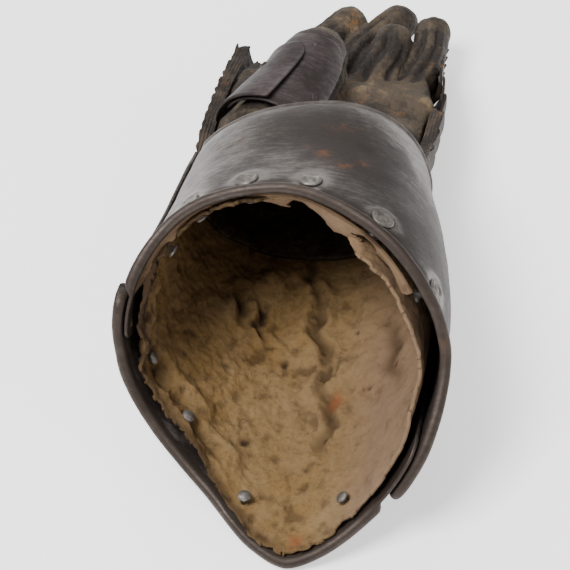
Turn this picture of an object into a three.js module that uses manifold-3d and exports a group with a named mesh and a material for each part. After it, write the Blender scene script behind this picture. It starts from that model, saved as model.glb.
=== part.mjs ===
// Left-hand armoured gauntlet: a two-plate steel cuff riveted over a suede lining, a leather glove,
// overlapping lames on the back of the hand, a plated thumb and scaled fingers.
// Millimetres. It lies on its back, palm up: +Y runs from the elbow to the fingertips, +Z is up.
//
// Arm frame: y = 0 is the wrist edge of the cuff, -y the elbow. Angles go round the arm in degrees:
// 0 is the back of the arm (down), 90 is +X, 180 is the palm side (up), negative angles are -X.
// An inset is a depth below the outer skin of the armour, and a negative inset stands proud of it.
import * as THREE from "three";
import { mergeVertices } from "three/addons/utils/BufferGeometryUtils.js";
import Module from "manifold-3d";

// ---- driving dimensions --------------------------------------------------------------------------
const PLATE = 1.5; // cuff plate
const LAME = 1.2; // lames and thumb plates
const SCALE = 0.9; // finger scales
const LEATHER = 2; // lining and glove
const GAP = 0.4; // air between neighbouring pieces
const ROLL_RADIUS = 2.4; // rolled edge round the mouth of the cuff
const BACK_LIP = 4; // how far the main plate runs past the wrist edge, over the first lame
const MAIN_PLATE_ARC = { from: -113, to: 62 };
const INNER_PLATE_ARC = { from: 42, to: 265 };
const MAIN_LAYER = 1.4; // inset of the main plate's outer face
const PLATE_GAP = 0.8;
const LAYER_STEP = PLATE + PLATE_GAP; // the inner plate crosses from outside the main plate to inside it
const CROSSOVER = { from: 110, to: 235 };

const LINING_INSET = 5.6;
const LINING_WRIST_Y = -5;
const LINING_SET_BACK = 2.6; // leather stops this far short of the steel rim
const GLOVE_INSET = 8.6;
const MOUTH_Y = -17; // open end of the glove, inside the lining
const KNUCKLE_SPLIT_Y = 72; // the hand of the glove ends and its knuckle part begins here

const HAND_AXIS_X = -7;
const HAND_TURN = 9.6; // the hand lies this many degrees less rolled than the cuff
const TWIST = { from: -4, to: 38 };

const LAMES = { count: 7, first: -3, pitch: 14.5, length: 21, halfArc: 95, rootInset: 4.6, lipInset: 0.7 };
const STRAP = { thickness: 1.3, inset: 6.2, from: 68, to: 90, startY: 7, endY: 84 };

const RIVET = { head: 4.6, dome: 1.5, shank: 1.5, washer: 3.2, washerThick: 0.7, clearance: 0.35 };

const REST = { pitch: -7.2, roll: -8.6 }; // how the finished piece lies on a level surface

// Half sizes of the armour's outer skin: distances from the arm's axis to each side, and how square
// the back of the section is (2 is a plain ellipse).
const BODY_ROWS = [
  { y: -172, left: 66.6, right: 66.8, top: 59.0, bottom: 65.0, back: 1.82 },
  { y: -130, left: 66.6, right: 67.4, top: 58.8, bottom: 60.6, back: 1.85 },
  { y: -90, left: 66.2, right: 66.8, top: 57.6, bottom: 55.0, back: 1.88 },
  { y: -45, left: 63.2, right: 58.6, top: 51.4, bottom: 46.8, back: 1.9 },
  { y: 0, left: 61.2, right: 46.6, top: 43.6, bottom: 38.2, back: 1.95 },
  { y: 20, left: 62.6, right: 45.8, top: 27.0, bottom: 35.8, back: 2.1 },
  { y: 42, left: 63.4, right: 46.8, top: 17.5, bottom: 34.0, back: 2.3 },
  { y: 70, left: 63.0, right: 46.4, top: 12.5, bottom: 32.4, back: 2.55 },
  { y: 108, left: 60.6, right: 41.0, top: 6.0, bottom: 31.0, back: 2.75 },
];
const PALM_SIDE_SQUARENESS = 2.25;

// Edge of the cuff's mouth: a long rounded point at the back of the arm, short on the palm side.
const RIM_ROWS = [
  { angle: -180, y: -82 },
  { angle: -145, y: -87 },
  { angle: -115, y: -106 },
  { angle: -88, y: -115 },
  { angle: -60, y: -125 },
  { angle: -35, y: -141 },
  { angle: -15, y: -162 },
  { angle: 0, y: -170.5 },
  { angle: 15, y: -167.5 },
  { angle: 35, y: -157 },
  { angle: 60, y: -146 },
  { angle: 88, y: -121 },
  { angle: 115, y: -112 },
  { angle: 145, y: -98 },
  { angle: 180, y: -82 },
];

// Rivets that hold the lining, a little way in from the rim, and holes whose rivets are lost.
const RIM_RIVETS = [
  { name: "palm_1", angle: -130, plate: "inner" },
  { name: "palm_2", angle: -149, plate: "inner" },
  { name: "palm_3", angle: -173, plate: "inner" },
  { name: "palm_4", angle: 166, plate: "inner" },
  { name: "palm_5", angle: 137, plate: "inner" },
  { name: "right_1", angle: 105, plate: "inner" },
  { name: "back_1", angle: 27, plate: "main" },
  { name: "back_2", angle: -20, plate: "main" },
  { name: "left_1", angle: -50, plate: "main" },
  { name: "left_2", angle: -78, plate: "main" },
];
const EMPTY_HOLES = [
  { angle: 76, plate: "inner" },
  { angle: 54, plate: "both" },
];
const RIVET_SET_BACK = 13;

// Long soft folds of the lining: where they run, how high they stand and how wide they are.
const LINING_FOLDS = [
  { angle: -72, from: -125, to: -40, height: 3.2, width: 13 },
  { angle: -40, from: -150, to: -60, height: -2.4, width: 12 },
  { angle: 6, from: -120, to: -30, height: 2.8, width: 15 },
  { angle: 48, from: -140, to: -45, height: 2.6, width: 12 },
  { angle: 150, from: -100, to: -20, height: 3.0, width: 18 },
];

// Finger and thumb stalls in the hand frame: base, middle, and centre of the rounded tip.
const DIGITS = [
  { name: "index", path: [[-28, 78, -11], [-19, 116, -12], [-5, 145.5, -11]], root: 10.8, tip: 9, arc: 53, bare: 0.45 },
  { name: "middle", path: [[-8, 78, -14], [3, 118, -13], [19, 149, -11]], root: 11, tip: 9.4, arc: 53, bare: 0.43 },
  { name: "ring", path: [[12, 78, -11], [18, 98, -6], [21, 115, 0]], root: 12.2, tip: 9.6, arc: 26, bare: 0.5 },
  { name: "little", path: [[31, 78, -11], [37, 108, -8.5], [37.5, 134, -6]], root: 9.2, tip: 8.4, arc: 50, bare: 0.56 },
];
const THUMB = { name: "thumb", path: [[-22, 14, 8], [-12, 50, 11], [-8, 79, 14]], root: 20, tip: 13.4 };
const SCALES = { count: 4, overlap: 1.35, root: 0.4, lip: 2.2 };

// Thumb plates, as shares of the stall's length and angles round it: 0 is up, positive towards +X.
const THUMB_PLATES = [
  { name: "thumb_main_plate", from: 0.06, to: 0.92, left: -60, right: 62, root: 2.6, lip: 2.2 },
  { name: "thumb_side_plate", from: 0.04, to: 0.78, left: -84, right: 4, root: 5.4, lip: 4.4 },
  { name: "thumb_tip_plate", from: 0.84, to: 1.0, left: -72, right: 66, root: 0.6, lip: 0.8 },
];

// ---- materials ------------------------------------------------------------------------------------
const material = (color, roughness, metalness) =>
  new THREE.MeshStandardMaterial({ color, roughness, metalness });
const STEEL = () => material(0x7c7471, 0.5, 0.85);
const DARK_STEEL = () => material(0x5b5150, 0.5, 0.8);
const SUEDE = () => material(0xa8844f, 0.95, 0);
const GLOVE_LEATHER = () => material(0x5d5242, 0.85, 0);

// ---- small tools ----------------------------------------------------------------------------------
const radians = THREE.MathUtils.degToRad;
const { lerp, smoothstep } = THREE.MathUtils;
const wasm = await Module();
wasm.setup();

/** A smooth function through a table's rows: key in, an object of the other columns out. */
function smoothTable(rows, key) {
  const names = Object.keys(rows[0]).filter((name) => name !== key);
  const samples = rows.flatMap((row) => names.map((name) => row[name]));
  const curve = new THREE.CubicInterpolant(rows.map((row) => row[key]), samples, names.length);
  return (at) => {
    const values = curve.evaluate(at);
    return Object.fromEntries(names.map((name, i) => [name, values[i]]));
  };
}

/** Evenly spaced values from one end to the other, both included. */
function spread(from, to, count) {
  return Array.from({ length: count }, (_, i) => lerp(from, to, i / (count - 1)));
}

/** Triangles that close a nearly flat loop, wound about the loop's own normal. */
function capTriangles(loop) {
  const normal = new THREE.Vector3();
  loop.forEach((p, i) => {
    const q = loop[(i + 1) % loop.length];
    normal.add(new THREE.Vector3().crossVectors(p, q));
  });
  normal.normalize();
  const across = loop[1].clone().sub(loop[0]).normalize();
  const along = new THREE.Vector3().crossVectors(normal, across);
  const flat = loop.map((p) => new THREE.Vector2(p.dot(across), p.dot(along)));
  const turns = ([a, b, c]) => flat[b].clone().sub(flat[a]).cross(flat[c].clone().sub(flat[a])) > 0;
  const triangles = THREE.ShapeUtils.triangulateShape(flat, []);
  return triangles.map((t) => (turns(t) ? t : [t[0], t[2], t[1]]));
}

/** Six times the signed volume inside a set of triangles. */
function signedVolume(points, index) {
  let sum = 0;
  for (let i = 0; i < index.length; i += 3) {
    const [a, b, c] = [points[index[i]], points[index[i + 1]], points[index[i + 2]]];
    sum += a.dot(new THREE.Vector3().crossVectors(b, c));
  }
  return sum;
}

/** A closed body through a row of closed loops. A ring joins its last loop to its first. */
function sweep(loops, ring = false) {
  const size = loops[0].length;
  const points = loops.flat();
  const index = [];
  const steps = ring ? loops.length : loops.length - 1;
  for (let i = 0; i < steps; i++) {
    const here = i * size;
    const next = ((i + 1) % loops.length) * size;
    for (let j = 0; j < size; j++) {
      const k = (j + 1) % size;
      index.push(here + j, here + k, next + k, here + j, next + k, next + j);
    }
  }
  if (!ring) {
    const last = points.length - size;
    capTriangles(loops[0]).forEach(([a, b, c]) => index.push(a, c, b));
    capTriangles(loops.at(-1)).forEach(([a, b, c]) => index.push(last + a, last + b, last + c));
  }
  if (signedVolume(points, index) < 0) index.reverse();
  return new THREE.BufferGeometry().setFromPoints(points).setIndex(index);
}

/** A closed mesh as a solid that can be joined and cut. */
function toSolid(geometry) {
  const bare = new THREE.BufferGeometry().setAttribute("position", geometry.getAttribute("position"));
  if (geometry.index) bare.setIndex(geometry.index);
  const merged = mergeVertices(bare, 1e-4);
  const vertProperties = new Float32Array(merged.attributes.position.array);
  const triVerts = new Uint32Array(merged.index.array);
  return new wasm.Manifold(new wasm.Mesh({ numProp: 3, vertProperties, triVerts }));
}

/** A solid back as a mesh. */
function toGeometry(solid) {
  const { vertProperties, triVerts } = solid.getMesh();
  return new THREE.BufferGeometry()
    .setAttribute("position", new THREE.BufferAttribute(vertProperties, 3))
    .setIndex(new THREE.BufferAttribute(triVerts, 1));
}

/** The largest of a solid's separate bodies. */
function largestBody(solid) {
  return solid.decompose().reduce((best, body) => (body.volume() > best.volume() ? body : best));
}

/** A geometry less each of the cutters. */
function cut(geometry, cutters) {
  return toGeometry(cutters.reduce((left, tool) => left.subtract(toSolid(tool)), toSolid(geometry)));
}

function named(name, geometry, finish) {
  const mesh = new THREE.Mesh(geometry, finish);
  mesh.name = name;
  return mesh;
}

// ---- the armour's skin ----------------------------------------------------------------------------
const bodySizes = smoothTable(BODY_ROWS, "y");
const rimAt = smoothTable(RIM_ROWS, "angle");
const rimY = (angle) => rimAt(angle > 180 ? angle - 360 : angle).y;
const power = (value, exponent) => Math.sign(value) * Math.abs(value) ** exponent;

/** A point at a station along the arm, an angle round it and a depth below the outer skin. */
function skinPoint(y, angle, inset) {
  const { left, right, top, bottom, back } = bodySizes(y);
  const side = Math.sin(radians(angle));
  const up = -Math.cos(radians(angle));
  const squareness = up >= 0 ? PALM_SIDE_SQUARENESS : back;
  const x = ((side >= 0 ? right : left) - inset) * power(side, 2 / squareness);
  const z = ((up >= 0 ? top : bottom) - inset) * power(up, 2 / squareness);
  const turn = radians(HAND_TURN * smoothstep(y, TWIST.from, TWIST.to));
  const reach = x - HAND_AXIS_X;
  return new THREE.Vector3(
    HAND_AXIS_X + reach * Math.cos(turn) + z * Math.sin(turn),
    y,
    z * Math.cos(turn) - reach * Math.sin(turn),
  );
}

/** The turned edge of a plate, from its outer face round to its inner face. Roll 0 is a bare edge. */
function edgeRoll(edgeY, heading, layer, roll) {
  const radius = lerp(PLATE / 2, ROLL_RADIUS, roll);
  const centreInset = layer + PLATE - radius;
  const start = Math.asin(PLATE / radius - 1);
  return spread(start, 1.5 * Math.PI, 7).map((turn) => ({
    y: edgeY - heading * radius * (1 + Math.cos(turn)),
    inset: centreInset - radius * Math.sin(turn),
  }));
}

/** A lengthwise slice of a cuff plate: round the wrist edge, down the outside, round the rim, back. */
function plateSlice(angle, { wristY, rim, layer, wristRoll, rimRoll }) {
  const wristEnd = edgeRoll(wristY, 1, layer, wristRoll).reverse().filter((_, i) => i % 2 === 0);
  const rimEnd = edgeRoll(rim, -1, layer, rimRoll);
  const stations = (a, b) => spread(a.y, b.y, 6).slice(1, -1).map((y) => ({ y, inset: a.inset }));
  const outside = stations(wristEnd.at(-1), rimEnd[0]);
  const inside = stations(rimEnd.at(-1), wristEnd[0]);
  const slice = [...wristEnd, ...outside, ...rimEnd, ...inside];
  return slice.map(({ y, inset }) => skinPoint(y, angle, inset));
}

/** How much a plate's corner is rounded back, in millimetres, near either end of its arc. */
function cornerCut(angle, { from, to }) {
  const reach = 5;
  const near = Math.max(0, 1 - Math.min(angle - from, to - angle) / reach);
  return 5 * (1 - Math.sqrt(1 - near * near));
}

// ---- cuff -----------------------------------------------------------------------------------------
function mainPlate() {
  const { from, to } = MAIN_PLATE_ARC;
  const slices = spread(from, to, 25).map((angle) =>
    plateSlice(angle, {
      wristY: BACK_LIP,
      rim: rimY(angle) + cornerCut(angle, MAIN_PLATE_ARC),
      layer: MAIN_LAYER,
      wristRoll: 0,
      rimRoll: 1 - smoothstep(angle, INNER_PLATE_ARC.from - 5, INNER_PLATE_ARC.from - 1),
    }),
  );
  return sweep(slices);
}

/** Inset of the inner plate: outside the main plate on the right, inside it on the left. */
function innerLayer(angle) {
  const across = smoothstep(angle, CROSSOVER.from, CROSSOVER.to);
  return MAIN_LAYER + lerp(-LAYER_STEP, LAYER_STEP, across);
}

function innerPlate() {
  const { from, to } = INNER_PLATE_ARC;
  const tucked = 360 + MAIN_PLATE_ARC.from; // where the main plate's left edge covers it
  const slices = spread(from, to, 29).map((angle) =>
    plateSlice(angle, {
      wristY: 0,
      rim: rimY(angle) + cornerCut(angle, INNER_PLATE_ARC),
      layer: innerLayer(angle),
      wristRoll: 0.25 * (1 - smoothstep(angle, tucked - 14, tucked - 6)),
      rimRoll: 1 - smoothstep(angle, tucked - 5, tucked - 1),
    }),
  );
  return sweep(slices);
}

/** Ragged, torn edge of the lining: how much further back than its plain line it stops. */
function raggedEdge(angle) {
  const a = radians(angle);
  const torn = 7 * Math.exp(-(((angle - 152) / 9) ** 2));
  return 1.6 * Math.sin(7 * a) + 1.1 * Math.sin(13 * a + 1) + 0.7 * Math.sin(23 * a + 2) + torn;
}

/** How far the lining has come away from the steel at an angle, at the rim. */
function slackAtRim(angle) {
  const bump = (centre, width) => Math.exp(-(((angle - centre) / width) ** 2));
  return 5.5 * bump(120, 30) + 4 * bump(235, 22) + 1.5 * bump(300, 30);
}

/** Height of the soft folds over the plain lining. */
function foldHeight(y, angle) {
  const signed = angle > 180 ? angle - 360 : angle;
  return LINING_FOLDS.reduce((sum, fold) => {
    const across = Math.exp(-(((signed - fold.angle) / fold.width) ** 2));
    const middle = (fold.from + fold.to) / 2;
    const along = Math.exp(-(((y - middle) / ((fold.to - fold.from) / 2)) ** 4));
    return sum + fold.height * across * along;
  }, 0);
}

function lining() {
  const slices = spread(0, 360, 37).slice(0, -1).map((angle) => {
    const rim = rimY(angle) + LINING_SET_BACK + raggedEdge(angle);
    const stations = spread(LINING_WRIST_Y, rim, 7);
    const depth = (y) => {
      const slack = slackAtRim(angle) * smoothstep(-y, -0.45 * rim, -rim);
      return LINING_INSET + slack + Math.max(0, foldHeight(y, angle)) * smoothstep(-y, 18, 40);
    };
    const outside = stations.map((y) => skinPoint(y, angle, depth(y)));
    const inside = stations.map((y) => skinPoint(y, angle, depth(y) + LEATHER));
    return [...outside, ...inside.reverse()];
  });
  return sweep(slices, true);
}

// ---- rivets ---------------------------------------------------------------------------------------
const FINGERS_UP = new THREE.Vector3(0, 1, 0);

/** Where a rivet sits on the skin, and the rotation that points its own +Y outwards. */
function rivetSeat({ angle, plate }) {
  const y = rimY(angle) + RIVET_SET_BACK;
  const layer = plate === "main" ? MAIN_LAYER : innerLayer(angle < 0 ? angle + 360 : angle);
  const at = skinPoint(y, angle, layer);
  const along = skinPoint(y + 1, angle, layer).sub(at);
  const round = skinPoint(y, angle + 1, layer).sub(at);
  const outward = new THREE.Vector3().crossVectors(along, round).normalize();
  const turn = new THREE.Quaternion().setFromUnitVectors(FINGERS_UP, outward);
  const signed = angle < 0 ? angle + 360 : angle;
  const slack = slackAtRim(signed) * smoothstep(-y, -0.45 * rimY(angle), -rimY(angle));
  const grip = LINING_INSET + slack + foldHeight(y, signed) + LEATHER - layer;
  return { at, turn, grip };
}

/** A domed rivet through plate and lining, with its small clench inside. */
function rivet(grip) {
  const { head, dome, shank, washer, washerThick } = RIVET;
  const inner = -(grip + GAP + 0.8);
  const profile = [
    [0, inner - washerThick],
    [washer, inner - washerThick],
    [shank, inner],
    [shank, GAP],
    [head, GAP],
    [0.65 * head, GAP + 0.75 * dome],
    [0, GAP + dome],
  ];
  return new THREE.LatheGeometry(profile.map(([r, y]) => new THREE.Vector2(r, y)), 6);
}

/** A drill along a rivet's shank, as long as it takes to pass plate and lining. */
function rivetHole({ at, turn, grip }) {
  const radius = RIVET.shank + RIVET.clearance;
  const drill = new THREE.CylinderGeometry(radius, radius, 2 * grip + 6, 6);
  return drill.applyQuaternion(turn).translate(at.x, at.y, at.z);
}

function cuff() {
  const group = new THREE.Group();
  const seats = RIM_RIVETS.map((row) => ({ ...row, ...rivetSeat(row) }));
  const empty = EMPTY_HOLES.map((row) => ({ ...row, ...rivetSeat(row), empty: true }));
  const holes = (fits) => [...seats, ...empty].filter(fits).map(rivetHole);
  group.add(named("cuff_main_plate", cut(mainPlate(), holes((s) => s.plate !== "inner")), STEEL()));
  group.add(named("cuff_inner_plate", cut(innerPlate(), holes((s) => s.plate !== "main")), STEEL()));
  group.add(named("cuff_lining", cut(lining(), holes((s) => !s.empty)), SUEDE()));
  seats.forEach(({ name, at, turn, grip }) => {
    const mesh = named(`rim_rivet_${name}`, toGeometry(toSolid(rivet(grip))), STEEL());
    mesh.position.copy(at);
    mesh.quaternion.copy(turn);
    group.add(mesh);
  });
  return group;
}

// ---- back of the hand -----------------------------------------------------------------------------
/** One lame: a curved strap of steel whose finger edge stands proud and whose ends are rounded. */
function lame(startY, endY) {
  const { halfArc, rootInset, lipInset } = LAMES;
  const slices = spread(-halfArc, halfArc, 16).map((angle) => {
    const nearEnd = Math.max(0, (Math.abs(angle) - halfArc + 14) / 14);
    const trim = 0.42 * (endY - startY) * (1 - Math.sqrt(1 - 0.9 * nearEnd * nearEnd));
    const depth = (y) => lerp(rootInset, lipInset, (y - startY) / (endY - startY));
    const stations = [startY + trim, (startY + endY) / 2, endY - 0.25 * trim];
    const outside = stations.map((y) => skinPoint(y, angle, depth(y)));
    const inside = stations.map((y) => skinPoint(y, angle, depth(y) + LAME));
    return [...outside, ...inside.reverse()];
  });
  return sweep(slices);
}

/** A leather strap that runs under the lames' ends on one side. */
function lameStrap(side) {
  const { thickness, inset, from, to, startY, endY } = STRAP;
  const slices = spread(startY, endY, 8).map((y) => {
    const outside = spread(from, to, 3).map((angle) => skinPoint(y, side * angle, inset));
    const inside = spread(to, from, 3).map((angle) => skinPoint(y, side * angle, inset + thickness));
    return [...outside, ...inside];
  });
  return sweep(slices);
}

function handBack() {
  const group = new THREE.Group();
  for (let i = 0; i < LAMES.count; i++) {
    const startY = LAMES.first + LAMES.pitch * i;
    const name = i === LAMES.count - 1 ? "knuckle_plate" : `metacarpal_lame_${i + 1}`;
    group.add(named(name, lame(startY, startY + LAMES.length), STEEL()));
  }
  group.add(named("lame_strap_left", lameStrap(-1), GLOVE_LEATHER()));
  group.add(named("lame_strap_right", lameStrap(1), GLOVE_LEATHER()));
  return group;
}

// ---- glove ----------------------------------------------------------------------------------------
const handPoint = ([x, y, z]) => {
  const turn = radians(HAND_TURN);
  return new THREE.Vector3(
    HAND_AXIS_X + x * Math.cos(turn) + z * Math.sin(turn),
    y,
    z * Math.cos(turn) - x * Math.sin(turn),
  );
};

/** A stall's centre line with, at any share of its length, its point, directions and radius. */
function stallLine({ path, root, tip }) {
  const curve = new THREE.CatmullRomCurve3(path.map(handPoint));
  const palmUp = handPoint([0, 0, 1]).sub(handPoint([0, 0, 0]));
  return (share) => {
    const at = curve.getPointAt(Math.min(share, 1));
    const ahead = curve.getTangentAt(Math.min(share, 1));
    const right = new THREE.Vector3().crossVectors(ahead, palmUp).normalize();
    const up = new THREE.Vector3().crossVectors(right, ahead);
    return { at, ahead, right, up, radius: lerp(root, tip, Math.min(share, 1)) };
  };
}

/** A point at an angle round a stall, 0 up and 90 to the right, at a height over its leather. */
function stallPoint({ at, right, up, radius }, angle, height) {
  const a = radians(angle);
  return at.clone()
    .addScaledVector(right, Math.sin(a) * (radius + height))
    .addScaledVector(up, Math.cos(a) * (radius + height));
}

/** A tube with a rounded end along a stall, thinner by an inset. */
function stallSolid(digit, inset) {
  const line = stallLine(digit);
  const round = spread(0, 360, 11).slice(0, -1);
  const rings = spread(0, 1, 5).map((share) => round.map((a) => stallPoint(line(share), a, -inset)));
  const end = line(1);
  for (const turn of [35, 62, 84]) {
    const reach = (digit.tip - inset) * Math.sin(radians(turn));
    const shrink = (digit.tip - inset) * (Math.cos(radians(turn)) - 1) - inset;
    rings.push(round.map((a) => stallPoint(end, a, shrink).addScaledVector(end.ahead, reach)));
  }
  return toSolid(sweep(rings));
}

/** The palm of the glove as a closed form, from its mouth to just past the knuckles. */
function palmSolid(inset, mouthY) {
  const rows = [
    ...spread(mouthY, 78, 7).map((y) => ({ y, extra: 0 })),
    { y: 88, extra: 1.5 },
    { y: 94, extra: 5 },
  ];
  const round = spread(0, 360, 25).slice(0, -1);
  const rings = rows.map(({ y, extra }) => {
    const end = y > 80 ? y - (inset - GLOVE_INSET) : y;
    return round.map((angle) => skinPoint(end, angle, inset + extra));
  });
  return toSolid(sweep(rings));
}

/** The glove in seven simple pieces a hair apart: hand, knuckles and a stall for each digit. */
function glove() {
  const group = new THREE.Group();
  const digits = [...DIGITS, THUMB];
  const wholePalm = palmSolid(GLOVE_INSET, MOUTH_Y);
  const palmHollow = palmSolid(GLOVE_INSET + LEATHER, MOUTH_Y - 3);
  const hollow = digits.reduce((sum, digit) => sum.add(stallSolid(digit, LEATHER)), palmHollow);
  const hand = wholePalm.subtract(hollow);
  const rear = hand.trimByPlane([0, -1, 0], GAP / 2 - KNUCKLE_SPLIT_Y);
  const front = hand.trimByPlane([0, 1, 0], GAP / 2 + KNUCKLE_SPLIT_Y);
  group.add(named("glove_hand", toGeometry(largestBody(rear)), GLOVE_LEATHER()));
  group.add(named("glove_knuckles", toGeometry(largestBody(front)), GLOVE_LEATHER()));
  let taken = palmSolid(GLOVE_INSET - 2 * GAP, MOUTH_Y).add(wholePalm);
  digits.forEach((digit) => {
    const stall = stallSolid(digit, 0).subtract(stallSolid(digit, LEATHER)).subtract(taken);
    group.add(named(`${digit.name}_stall`, toGeometry(largestBody(stall)), GLOVE_LEATHER()));
    taken = taken.add(stallSolid(digit, -GAP));
  });
  return group;
}

/** A curved plate over part of a stall. Its finger edge stands at the lip height, its root lower. */
function stallPlate(digit, { from, to, left, right, root, lip }, thickness, columns, stations) {
  const line = stallLine(digit);
  const slices = spread(left, right, columns).map((angle) => {
    const nearEnd = Math.abs((2 * (angle - left)) / (right - left) - 1);
    const trim = 0.3 * (to - from) * (1 - Math.sqrt(1 - 0.96 * nearEnd ** 6));
    const rows = spread(from + trim, to - trim, stations);
    const height = (share) => lerp(root, lip, (share - from) / (to - from));
    const outside = rows.map((s) => stallPoint(line(s), angle, height(s) + thickness));
    const inside = rows.map((s) => stallPoint(line(s), angle, height(s)));
    return [...outside, ...inside.reverse()];
  });
  return sweep(slices);
}

function digitPlates() {
  const group = new THREE.Group();
  THUMB_PLATES.forEach((row) => {
    group.add(named(row.name, stallPlate(THUMB, row, LAME, 12, 4), DARK_STEEL()));
  });
  DIGITS.forEach((digit) => {
    const pitch = (1 - digit.bare) / (SCALES.count - 1 + SCALES.overlap);
    for (let i = 0; i < SCALES.count; i++) {
      const from = digit.bare + pitch * i;
      const arc = { left: 180 - digit.arc, right: 180 + digit.arc };
      const row = { ...SCALES, ...arc, from, to: from + SCALES.overlap * pitch };
      const name = `${digit.name}_scale_${i + 1}`;
      group.add(named(name, stallPlate(digit, row, SCALE, 6, 2), DARK_STEEL()));
    }
  });
  return group;
}

// ---- assembly -------------------------------------------------------------------------------------
/** The piece laid on a level surface, with its origin under the middle of its box. */
function gauntlet() {
  const body = new THREE.Group();
  body.rotation.set(radians(REST.pitch), radians(REST.roll), 0, "XYZ");
  body.add(cuff(), handBack(), digitPlates(), glove());
  const whole = new THREE.Group();
  whole.add(body);
  const box = new THREE.Box3().setFromObject(whole, true);
  const centre = box.getCenter(new THREE.Vector3());
  body.position.set(-centre.x, -centre.y, -box.min.z);
  return whole;
}

export default gauntlet();
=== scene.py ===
"""Looks of the armoured gauntlet: worn steel plates, a rough suede lining and an old leather glove.

Sizes are in millimetres in the arm frame, where y = 0 is the wrist edge of the cuff and -y the
elbow. Angles go round the arm in degrees: 0 is the back of the arm, 90 is +X and 180 the palm
side. An inset is a depth below the armour's outer skin. Seat turns all of this into metres in the
row's frame.
"""
from __future__ import annotations

import logging
import math
from dataclasses import dataclass, field
from enum import Enum

import bmesh
import bpy
import numpy as np
from mathutils import Matrix, Vector


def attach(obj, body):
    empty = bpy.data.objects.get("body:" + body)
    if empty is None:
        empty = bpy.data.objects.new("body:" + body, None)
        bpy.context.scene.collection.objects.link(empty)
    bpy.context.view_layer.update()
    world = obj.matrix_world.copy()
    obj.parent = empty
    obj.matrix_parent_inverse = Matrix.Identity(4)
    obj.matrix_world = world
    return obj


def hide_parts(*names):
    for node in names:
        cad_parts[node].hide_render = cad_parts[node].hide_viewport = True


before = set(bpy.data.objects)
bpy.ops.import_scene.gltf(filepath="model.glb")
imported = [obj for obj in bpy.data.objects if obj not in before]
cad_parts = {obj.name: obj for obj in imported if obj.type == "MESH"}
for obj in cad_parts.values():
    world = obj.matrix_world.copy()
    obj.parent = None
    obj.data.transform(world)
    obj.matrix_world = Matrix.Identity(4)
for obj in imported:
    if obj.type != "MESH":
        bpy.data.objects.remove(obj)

log = logging.getLogger("gauntlet")
Array = np.ndarray
Rows = list[list[float]]
MM = 1000  # millimetres in a metre
FLOOR_CLEARANCE = 0.0001  # metres between the lowest edge and the floor
WELD = 1e-6  # metres within which points are merged


# ---- numbers and shapes -------------------------------------------------------------------------


def rotation(axis: str, degrees: float) -> Array:
    """Matrix of a turn about one axis.

    Args:
        axis: "x", "y" or "z".
        degrees: the turn.
    Returns:
        A 3 by 3 array.
    """
    return np.array(Matrix.Rotation(math.radians(degrees), 3, axis.upper()))


def smoothstep(value: Array, low: float, high: float) -> Array:
    """Smooth rise from 0 at low to 1 at high; low may be above high."""
    t = np.clip((np.asarray(value, float) - low) / (high - low), 0, 1)
    return t * t * (3 - 2 * t)


def bump(value: Array, centre: float, width: float) -> Array:
    """Bell curve of height 1."""
    return np.exp(-(((np.asarray(value, float) - centre) / width) ** 2))


def squared(value: Array, squareness: Array) -> Array:
    """A sine or cosine bent so that the round it draws becomes squarer."""
    return np.sign(value) * np.abs(value) ** (2 / squareness)


def wrap(angle: Array) -> Array:
    """Angles brought into -180 to 180."""
    return (np.asarray(angle, float) + 180) % 360 - 180


def grain(points: Array, size: float, seed: int = 0) -> Array:
    """Smooth random relief in -1 to 1.

    Args:
        points: N by 3 places.
        size: millimetres from one bump to the next.
        seed: picks another field.
    Returns:
        One value per place.
    """
    q = points / size
    cell = np.floor(q).astype(np.int64)
    f = q - cell
    f = f * f * (3 - 2 * f)
    total = np.zeros(len(points))
    for corner in range(8):
        step = np.array([corner & 1, corner >> 1 & 1, corner >> 2 & 1])
        at = cell + step
        mixed = (at @ np.array([374761393, 668265263, 1442695041]) + seed * 974711) & 0xFFFFFFFF
        mixed = ((mixed ^ (mixed >> 13)) * 1274126177) & 0xFFFFFFFF
        value = ((mixed ^ (mixed >> 16)) & 0xFFFF) / 32767.5 - 1
        weight = np.prod(np.where(step == 1, f, 1 - f), axis=1)
        total += value * weight
    return total


def rough(points: Array, size: float, seed: int = 0, octaves: int = 3) -> Array:
    """Several grains on top of each other, each half as large and half as high."""
    return sum(grain(points, size / 2**k, seed + k) / 2**k for k in range(octaves))


def between(rows: Array, pick: Array) -> Array:
    """Rows of x, y, z read at fractional row numbers."""
    numbers = np.arange(len(rows))
    return np.stack([np.interp(pick, numbers, rows[:, i]) for i in range(3)], axis=-1)


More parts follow.
